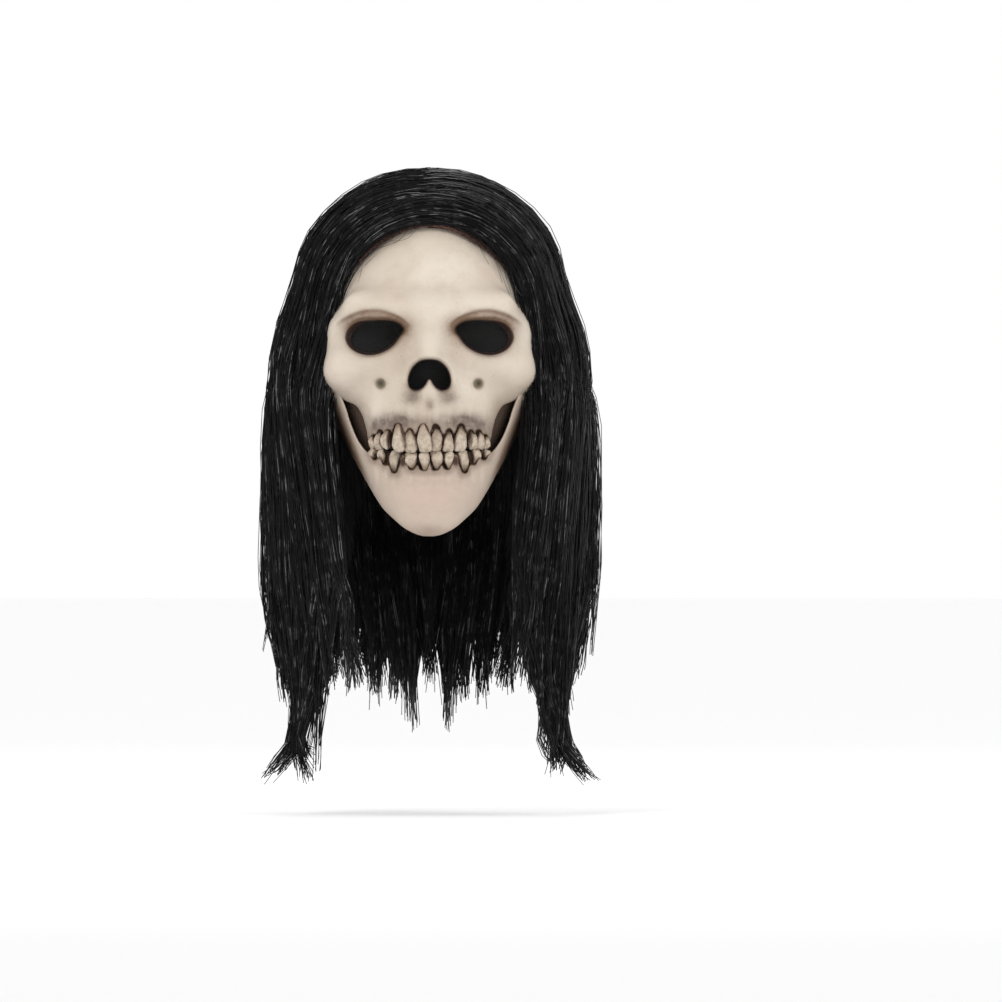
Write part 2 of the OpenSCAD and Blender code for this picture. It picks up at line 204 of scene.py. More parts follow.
def boneLatex(name, pinkness):
    p = Paint(name)
    c = boneColours
    broad = p.noise(16, 4, 0.6).over(0.35, 0.68)
    blotch = p.noise(75, 5, 0.65).over(0.42, 0.78)
    fine = p.noise(330, 5, 0.7)
    colour = p.mix(c["ivory"], c["pale"], broad)
    colour = p.mix(colour, c["warm"], blotch * 0.34 + (fine - 0.5) * 0.25)
    colour = p.mix(colour, c["pinkish"], p.attribute("flush") * (0.45 + 0.5 * broad) * pinkness)
    # painted shade: the latex turns brown where shade falls, in recesses and creases, round the sockets and
    # under the hair
    paintedShade = (p.attribute("paintedShade") * (0.70 + 0.6 * fine)).clipped()
    colour = p.mix(colour, c["brown"], paintedShade)
    # grey of the gum, with painted shade along the gum line beside the teeth, and grey-brown patches under
    # the nose
    gumGreyAndShade = (p.attribute("gum") * (0.70 + 0.60 * p.noise(190, 5, 0.75).over(0.35, 0.7))).clipped()
    colour = p.mix(colour, c["gum"], gumGreyAndShade)
    speck = p.noise(640, 3, 0.7).over(0.60, 0.72) * (0.10 + 0.55 * p.attribute("stain"))
    colour = p.mix(colour, c["brown"], speck.clipped())
    colour = p.mix(colour, c["olive"], (p.attribute("dimple") * (0.5 + fine)).clipped())
    # near-black round and between the teeth: the gum's dark paint with painted shade deep in the gaps
    edge = (p.noise(300, 4, 0.7) - 0.5) * 1.1 * p.attribute("creviceEdge")
    deep = (p.attribute("crevice") + edge).over(0.05, 0.95)
    colour = p.mix(colour, p.mix(c["brown"], c["crevice"], deep), (deep * 1.3).clipped())
    # near-black: the painted walls of the eye and nose holes; on the jaw this carries painted shade along
    # the outer edge
    colour = p.mix(colour, c["socket"], p.attribute("socket").over(0.15, 0.85))
    colour = p.mix(colour, c["inside"], p.attribute("lining"))
    cracks = p.node("ShaderNodeTexVoronoi", {"feature": "DISTANCE_TO_EDGE"}, {
        "Vector": p.place(), "Scale": 160.0}).over(0.0, 0.05)
    height = p.noise(120, 6, 0.6) * 0.6 + p.noise(900, 3, 0.6) * 0.22 + cracks * 0.05
    normal = p.bump(height, 0.6, 0.001)
    rough = 0.52 + 0.20 * blotch + 0.12 * paintedShade
    return p.finish(BaseColor=colour, Roughness=rough, Normal=normal, SpecularIorLevel=0.3)


def toothEnamel():
    p = Paint("toothEnamel")
    along = p.attribute("toothHeight")
    streak = p.noise(280, 4, 0.65, stretch=(1, 1, 0.22))
    patch = p.noise(520, 4, 0.65)
    rootward = (along + 0.9 * (streak - 0.5)).over(-0.05, 0.55)
    colour = p.mix((0.19, 0.125, 0.080), (0.48, 0.40, 0.315), rootward)
    colour = p.mix(colour, (0.31, 0.235, 0.175), patch.over(0.42, 0.66) * 0.9)
    # painted highlight: light streaks along the tooth towards its edge
    colour = p.mix(colour, (0.62, 0.55, 0.46), streak.over(0.55, 0.72) * along * 0.7)
    # painted shade on the sides of each tooth, where it meets its neighbours
    side = (p.attribute("toothSideShade") + 1.2 * (streak - 0.5)).over(0.36, 0.90)
    colour = p.mix(colour, (0.075, 0.040, 0.024), side)
    pits = p.noise(1500, 3, 0.6)
    normal = p.bump(streak * 0.7 + patch * 0.3 + pits * 0.25, 0.7, 0.0008)
    return p.finish(BaseColor=colour, Roughness=0.42 + 0.2 * streak, Normal=normal, SpecularIorLevel=0.4)


def hairFibre(name, tone):
    p = Paint(name)
    shade = p.attribute("strandShade")
    glint = (shade ** 7.0) * p.noise(150, 3, 0.6).over(0.46, 0.62)
    colour = p.mix(tone, tuple(3.0 * v for v in tone), shade ** 3.0)
    colour = p.mix(colour, (0.28, 0.28, 0.29), glint * 0.85)
    return p.finish(BaseColor=colour, Roughness=0.42 - 0.1 * glint, SpecularIorLevel=0.18)


def hairUnder():
    p = Paint("hairUnder")
    lines = p.noise(900, 3, 0.7, stretch=(1, 1, 0.03))
    colour = p.mix((0.003, 0.003, 0.003), (0.012, 0.012, 0.013), lines.over(0.45, 0.7))
    return p.finish(BaseColor=colour, Roughness=0.55, Normal=p.bump(lines, 0.9, 0.0012))


def gauze(name, tone):
    p = Paint(name)
    across = p.node("ShaderNodeTexWave", {"bands_direction": "X"}, {"Vector": p.place(), "Scale": 420.0})
    upward = p.node("ShaderNodeTexWave", {"bands_direction": "Z"}, {"Vector": p.place(), "Scale": 420.0})
    weave = across.sum("MAXIMUM", across, upward)
    colour = p.mix(tuple(0.25 * v for v in tone), tone, weave)
    return p.finish(BaseColor=colour, Roughness=0.85, Normal=p.bump(weave, 0.8, 0.0004))


def wovenElastic():
    p = Paint("wovenElastic")
    ribs = p.node("ShaderNodeTexWave", {"bands_direction": "Z"}, {"Vector": p.place(), "Scale": 300.0})
    fine = p.noise(2200, 2, 0.5)
    colour = p.mix((0.006, 0.006, 0.006), (0.025, 0.025, 0.027), ribs)
    return p.finish(BaseColor=colour, Roughness=0.8, Normal=p.bump(ribs + fine * 0.4, 0.8, 0.0004))


def nickel():
    p = Paint("dullNickel")
    wear = p.noise(500, 4, 0.6)
    return p.finish(BaseColor=p.mix((0.50, 0.48, 0.45), (0.66, 0.64, 0.60), wear), Metallic=1.0,
                    Roughness=0.28 + 0.25 * wear, Normal=p.bump(wear, 0.15, 0.0003))


def mouldedPlastic():
    p = Paint("mouldedPlastic")
    grain = p.noise(1800, 3, 0.6)
    colour = p.mix((0.012, 0.012, 0.013), (0.02, 0.02, 0.021), grain)
    return p.finish(BaseColor=colour, Roughness=0.35 + 0.1 * grain, Normal=p.bump(grain, 0.3, 0.0003))


def laceBand():
    p = Paint("laceBand")
    holes = p.node("ShaderNodeTexVoronoi", {"feature": "DISTANCE_TO_EDGE"}, {
        "Vector": p.place(), "Scale": 700.0})
    threads = 1 - holes.over(0.02, 0.2)
    colour = p.mix((0.020, 0.010, 0.008), (0.16, 0.065, 0.04), threads)
    return p.finish(BaseColor=colour, Roughness=0.8, Normal=p.bump(threads, 0.8, 0.0005))


def sewingThread():
    p = Paint("brownThread")
    twist = p.noise(2600, 2, 0.5)
    return p.finish(BaseColor=p.mix((0.08, 0.034, 0.024), (0.17, 0.078, 0.056), twist), Roughness=0.7,
                    Normal=p.bump(twist, 0.5, 0.0002))


def wovenTape():
    p = Paint("weftTape")
    across = p.node("ShaderNodeTexWave", {"bands_direction": "Z"}, {"Vector": p.place(), "Scale": 260.0})
    return p.finish(BaseColor=p.mix((0.005, 0.005, 0.005), (0.022, 0.022, 0.023), across), Roughness=0.85,
                    Normal=p.bump(across, 0.7, 0.0004))


def stageFloor():
    p = Paint("paleFloor")
    return p.finish(BaseColor=(0.96, 0.96, 0.96), Roughness=0.9)


print("materials")
faceSkinPaint = boneLatex("faceLatex", 0.5)
jawSkinPaint = boneLatex("jawLatex", 1.0)
toothPaint = toothEnamel()
hairPaint = hairFibre("blackHair", (0.0042, 0.0042, 0.0046))
# painted light: a lighter copy of the black hair for the back, offsetting the shade that the locks and the
# mask cast on it
litHairCopy = hairFibre("blackHairLitCopy", (0.0075, 0.0075, 0.0080))
underPaint = hairUnder()
gauzePaint = gauze("blackGauze", (0.012, 0.012, 0.012))
netPaint = gauze("capNet", (0.014, 0.014, 0.015))
liningPaint = gauze("cheekGauze", (0.080, 0.047, 0.029))
elasticPaint = wovenElastic()
nickelPaint = nickel()
plasticPaint = mouldedPlastic()
bandPaint = laceBand()
threadPaint = sewingThread()
weftPaint = wovenTape()


def meshPiece(name, points, faces, paint, smooth=True):
    data = bpy.data.meshes.new(name)
    data.from_pydata([tuple(p) for p in points], [], faces)
    data.materials.append(paint)
    if smooth:
        data.shade_smooth()
    piece = bpy.data.objects.new(name, data)
    bpy.context.scene.collection.objects.link(piece)
    return piece


def giveAttribute(piece, name, values):
    held = piece.data.attributes.new(name, "FLOAT", "POINT")
    held.data.foreach_set("value", np.asarray(values, np.float32))


def smoothStep(value, low, high):
    t = np.clip((value - low) / (high - low), 0, 1)
    return t * t * (3 - 2 * t)


def spot(x, z, cx, cz, rx, rz):       # a soft round spot, 1 at its middle
    return np.exp(-((x - cx) / rx) ** 2 - ((z - cz) / rz) ** 2)


def smoothLoop(points, steps=6):       # a rounded loop through a few corners
    p = np.array(points, float)
    before, after, last = np.roll(p, 1, 0), np.roll(p, -1, 0), np.roll(p, -2, 0)
    made = []
    for t in np.arange(steps) / steps:
        made.append(0.5 * (2 * p + (after - before) * t + (2 * before - 5 * p + 4 * after - last) * t * t
                           + (3 * p - before - 3 * after + last) * t ** 3))
    return np.stack(made, 1).reshape(-1, 2)


def curveThrough(points, count):       # evenly numbered points along a smooth line
    p = np.array(points, float)
    p = np.concatenate([2 * p[:1] - p[1:2], p, 2 * p[-1:] - p[-2:-1]])
    u = np.linspace(0, len(p) - 3 - 1e-6, count)
    i = u.astype(int)
    t = (u - i)[:, None]
    a, b, c, d = p[i], p[i + 1], p[i + 2], p[i + 3]
    bend = (2 * a - 5 * b + 4 * c - d) * t * t + (3 * b - a - 3 * c + d) * t ** 3
    return 0.5 * (2 * b + (c - a) * t + bend)


class Clay:                             # a solid as distances on a grid, in mm, for the +X half
    def __init__(self, low, high, step):
        self.low, self.step = np.array(low, float), step
        spans = [np.arange(a, b, step, dtype=np.float32) for a, b in zip(low, high)]
        self.x = spans[0][:, None, None]
        self.y = spans[1][None, :, None]
        self.z = spans[2][None, None, :]
        self.field = np.full([len(s) for s in spans], 60, np.float32)
        self.kept = None

    def ball(self, centre, radii):
        px, py, pz = self.x - centre[0], self.y - centre[1], self.z - centre[2]
        a, b, c = radii
        outer = np.sqrt((px / a) ** 2 + (py / b) ** 2 + (pz / c) ** 2)
        inner = np.sqrt((px / a / a) ** 2 + (py / b / b) ** 2 + (pz / c / c) ** 2)
        return outer * (outer - 1) / np.maximum(inner, 1e-6)

    def rod(self, start, end, startR, endR):
        a, b = np.array(start, float), np.array(end, float)
        way = b - a
        px, py, pz = self.x - a[0], self.y - a[1], self.z - a[2]
        t = np.clip((px * way[0] + py * way[1] + pz * way[2]) / (way @ way), 0, 1)
        gap = np.sqrt((px - t * way[0]) ** 2 + (py - t * way[1]) ** 2 + (pz - t * way[2]) ** 2)
        return gap - (startR + (endR - startR) * t)

    def outline(self, points):         # distance to a loop seen from the front, less than 0 inside it
        loop = smoothLoop(points)
        x, z = self.x[:, :, 0], self.z[0]
        best = np.full((x.shape[0], z.shape[1]), 1e9)
        inside = np.zeros(best.shape, bool)
        for (ax, az), (bx, bz) in zip(loop, np.roll(loop, -1, 0)):
            wx, wz = bx - ax, bz - az
            t = np.clip(((x - ax) * wx + (z - az) * wz) / (wx * wx + wz * wz + 1e-9), 0, 1)
            best = np.minimum(best, (x - ax - t * wx) ** 2 + (z - az - t * wz) ** 2)
            if az != bz:
                inside ^= ((az > z) != (bz > z)) & (x < (bx - ax) * (z - az) / (bz - az) + ax)
        gap = np.sqrt(best)
        return np.where(inside, -gap, gap).astype(np.float32)[:, None, :]

    def add(self, shape, blend):
        h = np.maximum(blend - np.abs(self.field - shape), 0) / blend
        self.field = np.minimum(self.field, shape) - h * h * blend / 4

    def cut(self, shape, blend):
        h = np.maximum(blend - np.abs(self.field + shape), 0) / blend
        self.field = np.maximum(self.field, -shape) + h * h * blend / 4

    def push(self, amount):            # moves the surface outwards by a height in mm
        self.field = self.field - amount.astype(np.float32)

    def surfaceY(self, x, z):          # where the front surface lies, in mm
        i = int(round((abs(x) - self.low[0]) / self.step))
        k = int(round((z - self.low[2]) / self.step))
        inside = np.nonzero(self.solid()[i, :, k] < 0)[0]
        return float(self.low[1] + inside[0] * self.step)

    def solid(self):                   # the form before it was hollowed
        return self.field if self.kept is None else self.kept

    def mesh(self, adaptivity):
        half = self.field[1:] if abs(self.low[0]) < 1e-6 else self.field
        whole = np.concatenate([half[::-1], self.field]).astype(np.float32)
        whole[[0, -1]] = 5
        whole[:, [0, -1]] = 5
        whole[:, :, [0, -1]] = 5
        grid = openvdb.FloatGrid(5.0)
        grid.copyFromArray(np.clip(whole, -5, 5))
        points, triangles, quads = grid.convertToPolygons(isovalue=0.0, adaptivity=adaptivity)
        points = np.asarray(points, float) * self.step
        points[:, 0] -= len(half) * self.step
        points[:, 1:] += self.low[1:]
        faces = [tuple(map(int, f)) for f in triangles] + [tuple(map(int, f)) for f in quads]
        a = points[[f[0] for f in faces]]
        b = points[[f[1] for f in faces]]
        c = points[[f[2] for f in faces]]
        d = points[[f[-1] for f in faces]]
        volume = np.einsum("ij,ij->", a, np.cross(b, c)) + np.einsum("ij,ij->", a, np.cross(c, d))
        if volume < 0:
            faces = [f[::-1] for f in faces]
        return points, faces


# outlines seen from the front, in mm from the hinge's middle
socketLoop = [(11.8, 20.9), (15.6, 24.4), (22, 25.5), (34, 25.0), (39.8, 21.4), (41.6, 16.2), (39.2, 11.3),
              (34.6, 8.3), (29, 7.3), (23, 8.5), (17.4, 11.9), (13.6, 16.9)]
eyeLoop = [(13.0, 21.2), (17, 24.1), (24, 24.9), (32, 23.5), (36.8, 19.9), (38.2, 15.4), (36, 11.4),
           (30.5, 9.3), (24.2, 10.1), (18.8, 13.2), (15, 17.6)]
noseHalf = [(0, 6.4), (5.0, 5.5), (9.2, 1.5), (11.0, -4.2), (9.8, -8.4), (6.6, -9.8), (3.4, -8.8),
            (1.2, -6.4)]
noseLoop = noseHalf + [(0, -4.4)] + [(-x, z) for x, z in noseHalf[:0:-1]]
faceLow = [(-80, -37.6), (-20, -37.6), (5, -37.6), (18, -37.6), (24.5, -37.5), (27.4, -36.6), (29.6, -33.8),
           (31.0, -27), (33.0, -20.8), (35.8, -16.6), (40.5, -14.4), (46, -11.2), (50.5, -7.6), (56, -8.5),
           (80, -10), (80, -120), (-80, -120)]
jawTop = [(-80, -38.8), (-20, -38.8), (5, -38.8), (18, -38.8), (24, -38.8), (27, -39.2), (29.6, -39.3),
          (31.8, -37.4), (35.2, -32.2), (38.2, -25), (40.4, -18), (42.8, -12), (46.5, -4), (52.5, 6),
          (62, 9.5), (80, 9.5), (80, 120), (-80, 120)]

upperTeeth = {
    "middles": (-27.1, -23.9, -20.0, -15.3, -9.5, -2.9, 3.8, 9.4, 15.3, 19.9, 23.9, 27.1),
    "widths": (3.6, 4.8, 4.8, 6.8, 6.5, 7.0, 6.4, 5.5, 7.0, 4.8, 4.8, 3.6),
    "roots": (-30.8, -28.4, -28.2, -25.4, -27.6, -25.4, -26.6, -28.8, -25.6, -28.6, -28.4, -31.0),
    "edges": (-37.6, -37.9, -37.7, -39.2, -39.6, -39.2, -38.9, -39.2, -39.2, -37.7, -37.7, -37.5),
    "leans": (8, 5, -4, 10, 7, 6, -6, -8, -10, 4, -5, -8),
}
lowerTeeth = {
    "middles": (-26.6, -21.7, -17.2, -8.2, -2.3, 3.7, 9.0, 16.8, 21.2, 26.2),
    "widths": (4.4, 4.6, 5.6, 6.2, 5.0, 5.8, 4.8, 5.6, 4.6, 4.2),
    "roots": (-42.6, -45.2, -49.4, -47.4, -48.2, -47.8, -47.6, -49.0, -45.2, -42.4),
    "edges": (-37.6, -37.4, -38.4, -39.3, -39.0, -38.8, -39.1, -38.4, -37.4, -37.6),
    "leans": (-6, 8, -12, 4, -2, 3, -4, 12, -8, 6),
}
sculpt = {"step": 0.70, "wall": 2.2, "eyeDepth": 8.0, "gumDepth": 2.6, "backEdge": 14.0}


def toothBed(c):                        # distance to the row of teeth seen from the front
    total = 0
    for row in (upperTeeth, lowerTeeth):
        for middle, width, root, edge in zip(row["middles"], row["widths"], row["roots"], row["edges"]):
            way = math.copysign(1, edge - root)
            low, high = sorted((root + way * width * 0.22, edge - way * width * 0.3))
            nearest = np.clip(c.z, low, high)
            share = np.clip((nearest - root) / (edge - root), 0, 1)
            radius = width / 2 * (0.36 + 0.64 * smoothStep(share, 0, 0.55)) + 0.05
            gap = np.sqrt((c.x - abs(middle)) ** 2 + (c.z - nearest) ** 2) - radius
            total = total + np.exp(-gap / 0.55)
    return (-0.55 * np.log(np.maximum(total, 1e-20))).astype(np.float32)


def creaseHeight(x):                    # the fold between the brow and the socket
    return 29.8 - 0.022 * (x - 27.5) ** 2


def sculptFace():
    c = Clay((0, -84, -44), (66, 20, 84), sculpt["step"])
    c.add(c.ball((0, 0, 10), (61, 69.5, 79)), 1)
    c.cut(c.ball((66, -56, 46), (15, 26, 24)), 16)                      # temple
    c.add(c.rod((8, -64.5, 29), (34, -56.5, 31.5), 5.5, 5), 10)         # brow
    c.add(c.rod((34, -55.5, 30), (40.5, -47, 22), 4.5, 3.6), 9)
    c.add(c.rod((41, -43.5, 22), (42.4, -43, 3), 4.2, 5.2), 7)
    c.add(c.ball((0, -64, 28), (10, 8, 8)), 9)
    c.add(c.rod((0, -64, 25), (0, -70.5, 9), 6, 5), 6)                  # nose bones
    c.add(c.rod((41.8, -46, 18), (40.3, -50, 0), 4.6, 7.0), 9)          # cheekbone
    c.add(c.rod((42, -52, 3), (15, -63, 6), 6, 4.5), 8)
    c.add(c.rod((42.5, -45, -1), (56, -8, 5), 5.8, 4.4), 8)
    c.add(c.ball((0, -42, -14), (32, 30, 26)), 9)                       # upper jaw
    c.add(c.ball((0, -43, -29), (31.5, 30.5, 13)), 7)
    c.cut(c.ball((21, -79, -5), (10, 11, 10)), 10)
    c.cut(c.ball((46, -58, -24), (11, 22, 13)), 6)                      # under the cheekbone
    c.push(0.8 * spot(c.x, c.z, 9, 6, 5, 7) + 0.7 * spot(c.x, c.z, 0, -12, 4, 5))
    above = c.z - creaseHeight(c.x)
    across = smoothStep(c.x, 7, 16) * smoothStep(c.x, 50, 40)
    fold = 1.3 * smoothStep(above, -0.9, 0.9) * smoothStep(above, 12, 1) - 0.5 * np.exp(-(above / 0.8) ** 2)
    c.push(fold * across)
    socket = c.outline(socketLoop)
    front = c.surfaceY(27, 17)
    slope = 0.30 * np.clip(c.y - front, 0, 30)
    floor = (c.y - (front + sculpt["eyeDepth"]))
    c.push(0.6 * smoothStep(socket, 4.0, 0) * smoothStep(c.z, 22, 14))
    c.cut(np.maximum(socket + slope, floor), 2.0)
    nose = c.outline(noseLoop)
    noseFront = c.surfaceY(8, -2)
    c.push(0.7 * smoothStep(nose, 3.2, 0) * smoothStep(c.z, -6, 0))
    c.cut(np.maximum(nose + 0.18 * np.clip(c.y - noseFront, 0, 30), c.y - (noseFront + 9)), 1.4)
    dimple = (23.7, c.surfaceY(23.7, -6) + 0.4, -6)
    c.cut(c.ball(dimple, (2.2, 2.6, 2.2)), 1.6)
    gum = toothBed(c)
    c.push(1.0 * smoothStep(gum, 3.6, 0.6) * (1 - smoothStep(gum, 0.2, -0.8)))
    c.push(-0.7 * spot(c.x, c.z, 0, -26.5, 1.6, 3) - 0.5 * spot(c.x, c.z, 12.4, -25, 1.4, 3))
    for root in upperTeeth["middles"]:
        c.push(0.6 * spot(c.x, c.z, abs(root), -21.5, 2.0, 4.6))
    c.push(-sculpt["gumDepth"] * smoothStep(gum, 0.3, -1.0))
    c.kept = solid = c.field.copy()
    c.field = np.maximum(solid, -(solid + sculpt["wall"]))
    eye = c.outline(eyeLoop)
    c.cut(np.maximum(eye, c.y + 30), 0.8)
    c.cut(np.maximum(c.outline(noseLoop) + 1.2, c.y + 30), 0.8)
    c.cut(c.outline(faceLow), 1.4)
    c.cut(sculpt["backEdge"] - c.y + 0 * c.x, 1)
    c.cut(78 - c.z + 0 * c.x, 1)
    return c, solid, {"socket": socket, "nose": nose, "gum": gum}


jawShape = {
    "heights": (-82, -79.4, -78, -76, -72.5, -67, -61, -55, -43, -28, -6, 14),
    "halfWidths": (2, 4.5, 8, 12.2, 17.2, 22.6, 26.4, 29.8, 36.6, 44.6, 57.6, 58.4),
}


def jawHalfWidth(z):
    lags = (-1.6, -0.8, 0, 0.8, 1.6)    # a running mean rounds the corners
    return sum(np.interp(z + lag, jawShape["heights"], jawShape["halfWidths"]) for lag in lags) / 5


def sculptJaw():
    c = Clay((0, -84, -82), (64, 20, 14), sculpt["step"])
    width = np.maximum(jawHalfWidth(c.z), 3)
    middle = 0.62 * c.z
    front = (-69.8 - 3.2 * np.exp(-((c.z + 42) / 9) ** 2) - 4.2 * np.exp(-((c.z + 66) / 9) ** 2)
             + 5.5 * smoothStep(c.z, -69, -79) + 1.2 * np.exp(-((c.z + 54) / 5) ** 2))
    depth = middle - front
    ring = np.sqrt((c.x / width) ** 2 + ((c.y - middle) / depth) ** 2)
    c.field = ((ring - 1) * np.minimum(width, depth) * 0.92).astype(np.float32)
    c.cut(c.z + 78.4 + 0 * c.x, 3)                                   # chin's lower edge
    c.add(c.ball((0, -60, -70), (13, 12, 8)), 8)
    c.push(0.7 * spot(c.x, c.z, 22, -50, 7, 8) - 0.8 * spot(c.x, c.z, 0, -57, 18, 4))
    gum = toothBed(c)
    c.push(0.9 * smoothStep(gum, 3.6, 0.6) * (1 - smoothStep(gum, 0.2, -0.8)))
    for root in lowerTeeth["middles"]:
        c.push(0.5 * spot(c.x, c.z, abs(root), -52, 1.8, 3.6))
    c.push(-sculpt["gumDepth"] * smoothStep(gum, 0.3, -1.0))
    c.kept = solid = c.field.copy()
    c.field = np.maximum(solid, -(solid + sculpt["wall"]))
    c.cut(c.outline(jawTop), 1.4)
    under = c.z - (-82 + 0.80 * np.clip(c.y + 62, 0, 90))
    c.cut(under + 0 * c.x, 2)
    c.cut(np.maximum(-(c.y - (0.62 * c.z + 9)), -60) + 0 * c.x, 1)
    return c, solid, {"gum": gum}


def sampled(clay, field, points):      # the field's value at points, in mm
    p = np.abs(points[:, :1]), points[:, 1:2], points[:, 2:]
    at = (np.concatenate(p, 1) - clay.low) / clay.step
    at = np.clip(at, 0, np.array(field.shape) - 1.001)
    i = at.astype(int)
    t = at - i
    value = 0
    for corner in range(8):
        d = np.array([corner >> 2 & 1, corner >> 1 & 1, corner & 1])
        weight = np.prod(np.where(d, t, 1 - t), 1)
        j = np.minimum(i + d, np.array(field.shape) - 1)
        value = value + weight * field[j[:, 0], j[:, 1], j[:, 2]]
    return value


def outward(clay, field, points):
    step = 0.8
    slopes = [sampled(clay, field, points + step * axis) - sampled(clay, field, points - step * axis)
              for axis in np.eye(3)]
    n = np.stack(slopes, 1)
    return n / np.maximum(np.linalg.norm(n, axis=1, keepdims=True), 1e-6)


def latexPiece(name, made, paint):
    clay, solid, loops = made
    points, faces = clay.mesh(0.02)
    n = outward(clay, solid, points)
    depth = sampled(clay, solid, points)
    shadowNear = np.clip((2.2 - sampled(clay, solid, points + 2.2 * n)) / 2.2, 0, 1)
    shadowFar = np.clip((6.0 - sampled(clay, solid, points + 6.0 * n)) / 6.0, 0, 1)
    x, z = np.abs(points[:, 0]), points[:, 2]
    piece = meshPiece(name, points * mm, faces, paint)
    near = {key: sampled(clay, np.broadcast_to(loop, clay.field.shape), points)
            for key, loop in loops.items()}
    outer = smoothStep(depth, -1.5, -0.5)
    gum = near["gum"]
    giveAttribute(piece, "lining", 1 - outer)
    # crevice: near-black round and between the teeth, the gum's dark paint with painted shade in the gaps,
    # and one dark gap among the lower teeth
    pit = 0.9 * spot(x, z, 12.7, -43.5, 2.2, 3.4)
    giveAttribute(piece, "crevice", np.maximum(smoothStep(gum, 0.8, -0.8), pit) * outer)
    giveAttribute(piece, "creviceEdge", np.exp(-(gum / 1.6) ** 2))
    gumLine = smoothStep(gum, 7.0, 0.4)
    dimple = np.zeros(len(points))
    socketBlackAndJawShade = np.zeros(len(points))
    if "socket" in near:
        socket, nose = near["socket"], near["nose"]
        ahead = points[:, 1] < -30
        socketBlackAndJawShade = np.maximum(smoothStep(socket, 0.3, -1.4), smoothStep(nose, 0.3, -1.2)) * ahead
        dimple = np.exp(-((x - 23.7) ** 2 + (z + 6) ** 2) / 2.1 ** 2)
        # painted shade on the face, summed below: a line at the lid crease, the band between crease and
        # socket, round the sockets, the inner eye corners, the temples under the hair, under the cheekbones
        # and beside the teeth
        above = z - creaseHeight(x)
        across = smoothStep(x, 8, 15) * smoothStep(x, 47, 38)
        fold = 0.42 * np.exp(-((above + 0.3) / 1.3) ** 2)
        lid = (fold + 0.34 * smoothStep(above, 1, -1) * smoothStep(above, -8, -3)) * across
        around = np.exp(-np.clip(socket, 0, 99) / 2.0) * (0.38 + 0.34 * smoothStep(z, 12, 26))
        inner = 0.42 * spot(x, z, 11.5, 22, 4.5, 5) + 0.22 * spot(x, z, 13, 10, 4, 9)
        lobes = np.exp(-np.clip(nose, 0, 99) / 1.5) * smoothStep(z, -3, -8) * smoothStep(x, 2.5, 5.5)
        belowNose = 0.9 * spot(x, z, 8.6, -12.4, 4.4, 3.6) + 0.8 * spot(x, z, 0, -16.2, 2.0, 2.6) \
            + 0.6 * lobes
        temple = 0.40 * smoothStep(x, 38, 50) * smoothStep(z, 14, 40)
        cheek = 0.45 * smoothStep(x, 42, 52) * smoothStep(z, 0, -9) \
            + 0.45 * smoothStep(z, -8, -18) * smoothStep(x, 27, 34)
        paintedShade = 0.35 * shadowFar + 0.30 * shadowNear + around + lid + inner + temple + cheek \
            + 0.50 * gumLine * smoothStep(gum, 4, 0) + 0.25 * belowNose
        stain = spot(x, z, 9, -10, 7, 6) + spot(x, z, 14, 16, 5, 8) + 0.8 * gumLine + 0.6 * dimple \
            + 0.6 * spot(x, z, 20, 66, 16, 5)
        # grey of the gum above the teeth and grey-brown patches under the nose; gumLine adds painted shade
        # next to the teeth
        grey = 0.95 * spot(x, z, 15.5, -23.8, 8.5, 3.4) + 0.5 * spot(x, z, 26, -26, 6, 4) \
            + 0.85 * belowNose + 0.38 * gumLine
        flush = 0.8 * spot(x, z, 15, 12, 7, 12) + 0.6 * spot(x, z, 38, -4, 14, 10) \
            + 0.4 * spot(x, z, 30, 45, 14, 18)
    else:
        # painted shade on the jaw: the outer side turns brown, then near-black, where it turns under the
        # hair, and the chin darkens towards its lower edge
        outside = x - (51.5 + 0.4 * z)
        edge = smoothStep(outside, -2.2, 1.0) * smoothStep(z, -60, -44)
        socketBlackAndJawShade = 0.85 * smoothStep(outside, -0.4, 3.0) * smoothStep(z, -52, -36)
        paintedShade = 0.30 * shadowFar + 0.3 * shadowNear + 0.95 * edge + 0.45 * gumLine * smoothStep(gum, 4, 0) \
            + 0.22 * smoothStep(z, -73, -79)
        stain = 0.9 * gumLine + 0.4 * edge
        # grey of the gum, with painted shade next to the teeth
        grey = 0.40 * gumLine * smoothStep(gum, 3.5, 0)
        flush = 0.65 + 0.35 * spot(x, z, 0, -62, 20, 9)
    giveAttribute(piece, "dimple", dimple * outer)
    giveAttribute(piece, "socket", socketBlackAndJawShade * outer)
    giveAttribute(piece, "paintedShade", np.clip(paintedShade, 0, 1) * outer)
    giveAttribute(piece, "stain", np.clip(stain, 0, 1) * outer)
    giveAttribute(piece, "gum", np.clip(grey, 0, 1) * outer)
    giveAttribute(piece, "flush", np.clip(flush, 0, 1))
    print(name, len(piece.data.vertices), "points", len(piece.data.polygons), "faces")
    return piece


toothShape = {
    "heights": (0.0, 0.06, 0.14, 0.23, 0.33, 0.44, 0.55, 0.66, 0.76, 0.85, 0.92, 0.97, 1.0),
    "breadths": (0.20, 0.38, 0.54, 0.68, 0.80, 0.90, 0.97, 1.0, 1.0, 0.96, 0.90, 0.78, 0.50),
    "depths": (0.30, 0.52, 0.70, 0.82, 0.92, 1.0, 1.0, 0.98, 0.92, 0.82, 0.68, 0.50, 0.26),
    "sides": 30,
    "thick": 4.2,
    "sunk": 0.9,             # how far the middle of a tooth lies behind the gum
    "recessed": {2: 0.9, 9: 0.9},
}


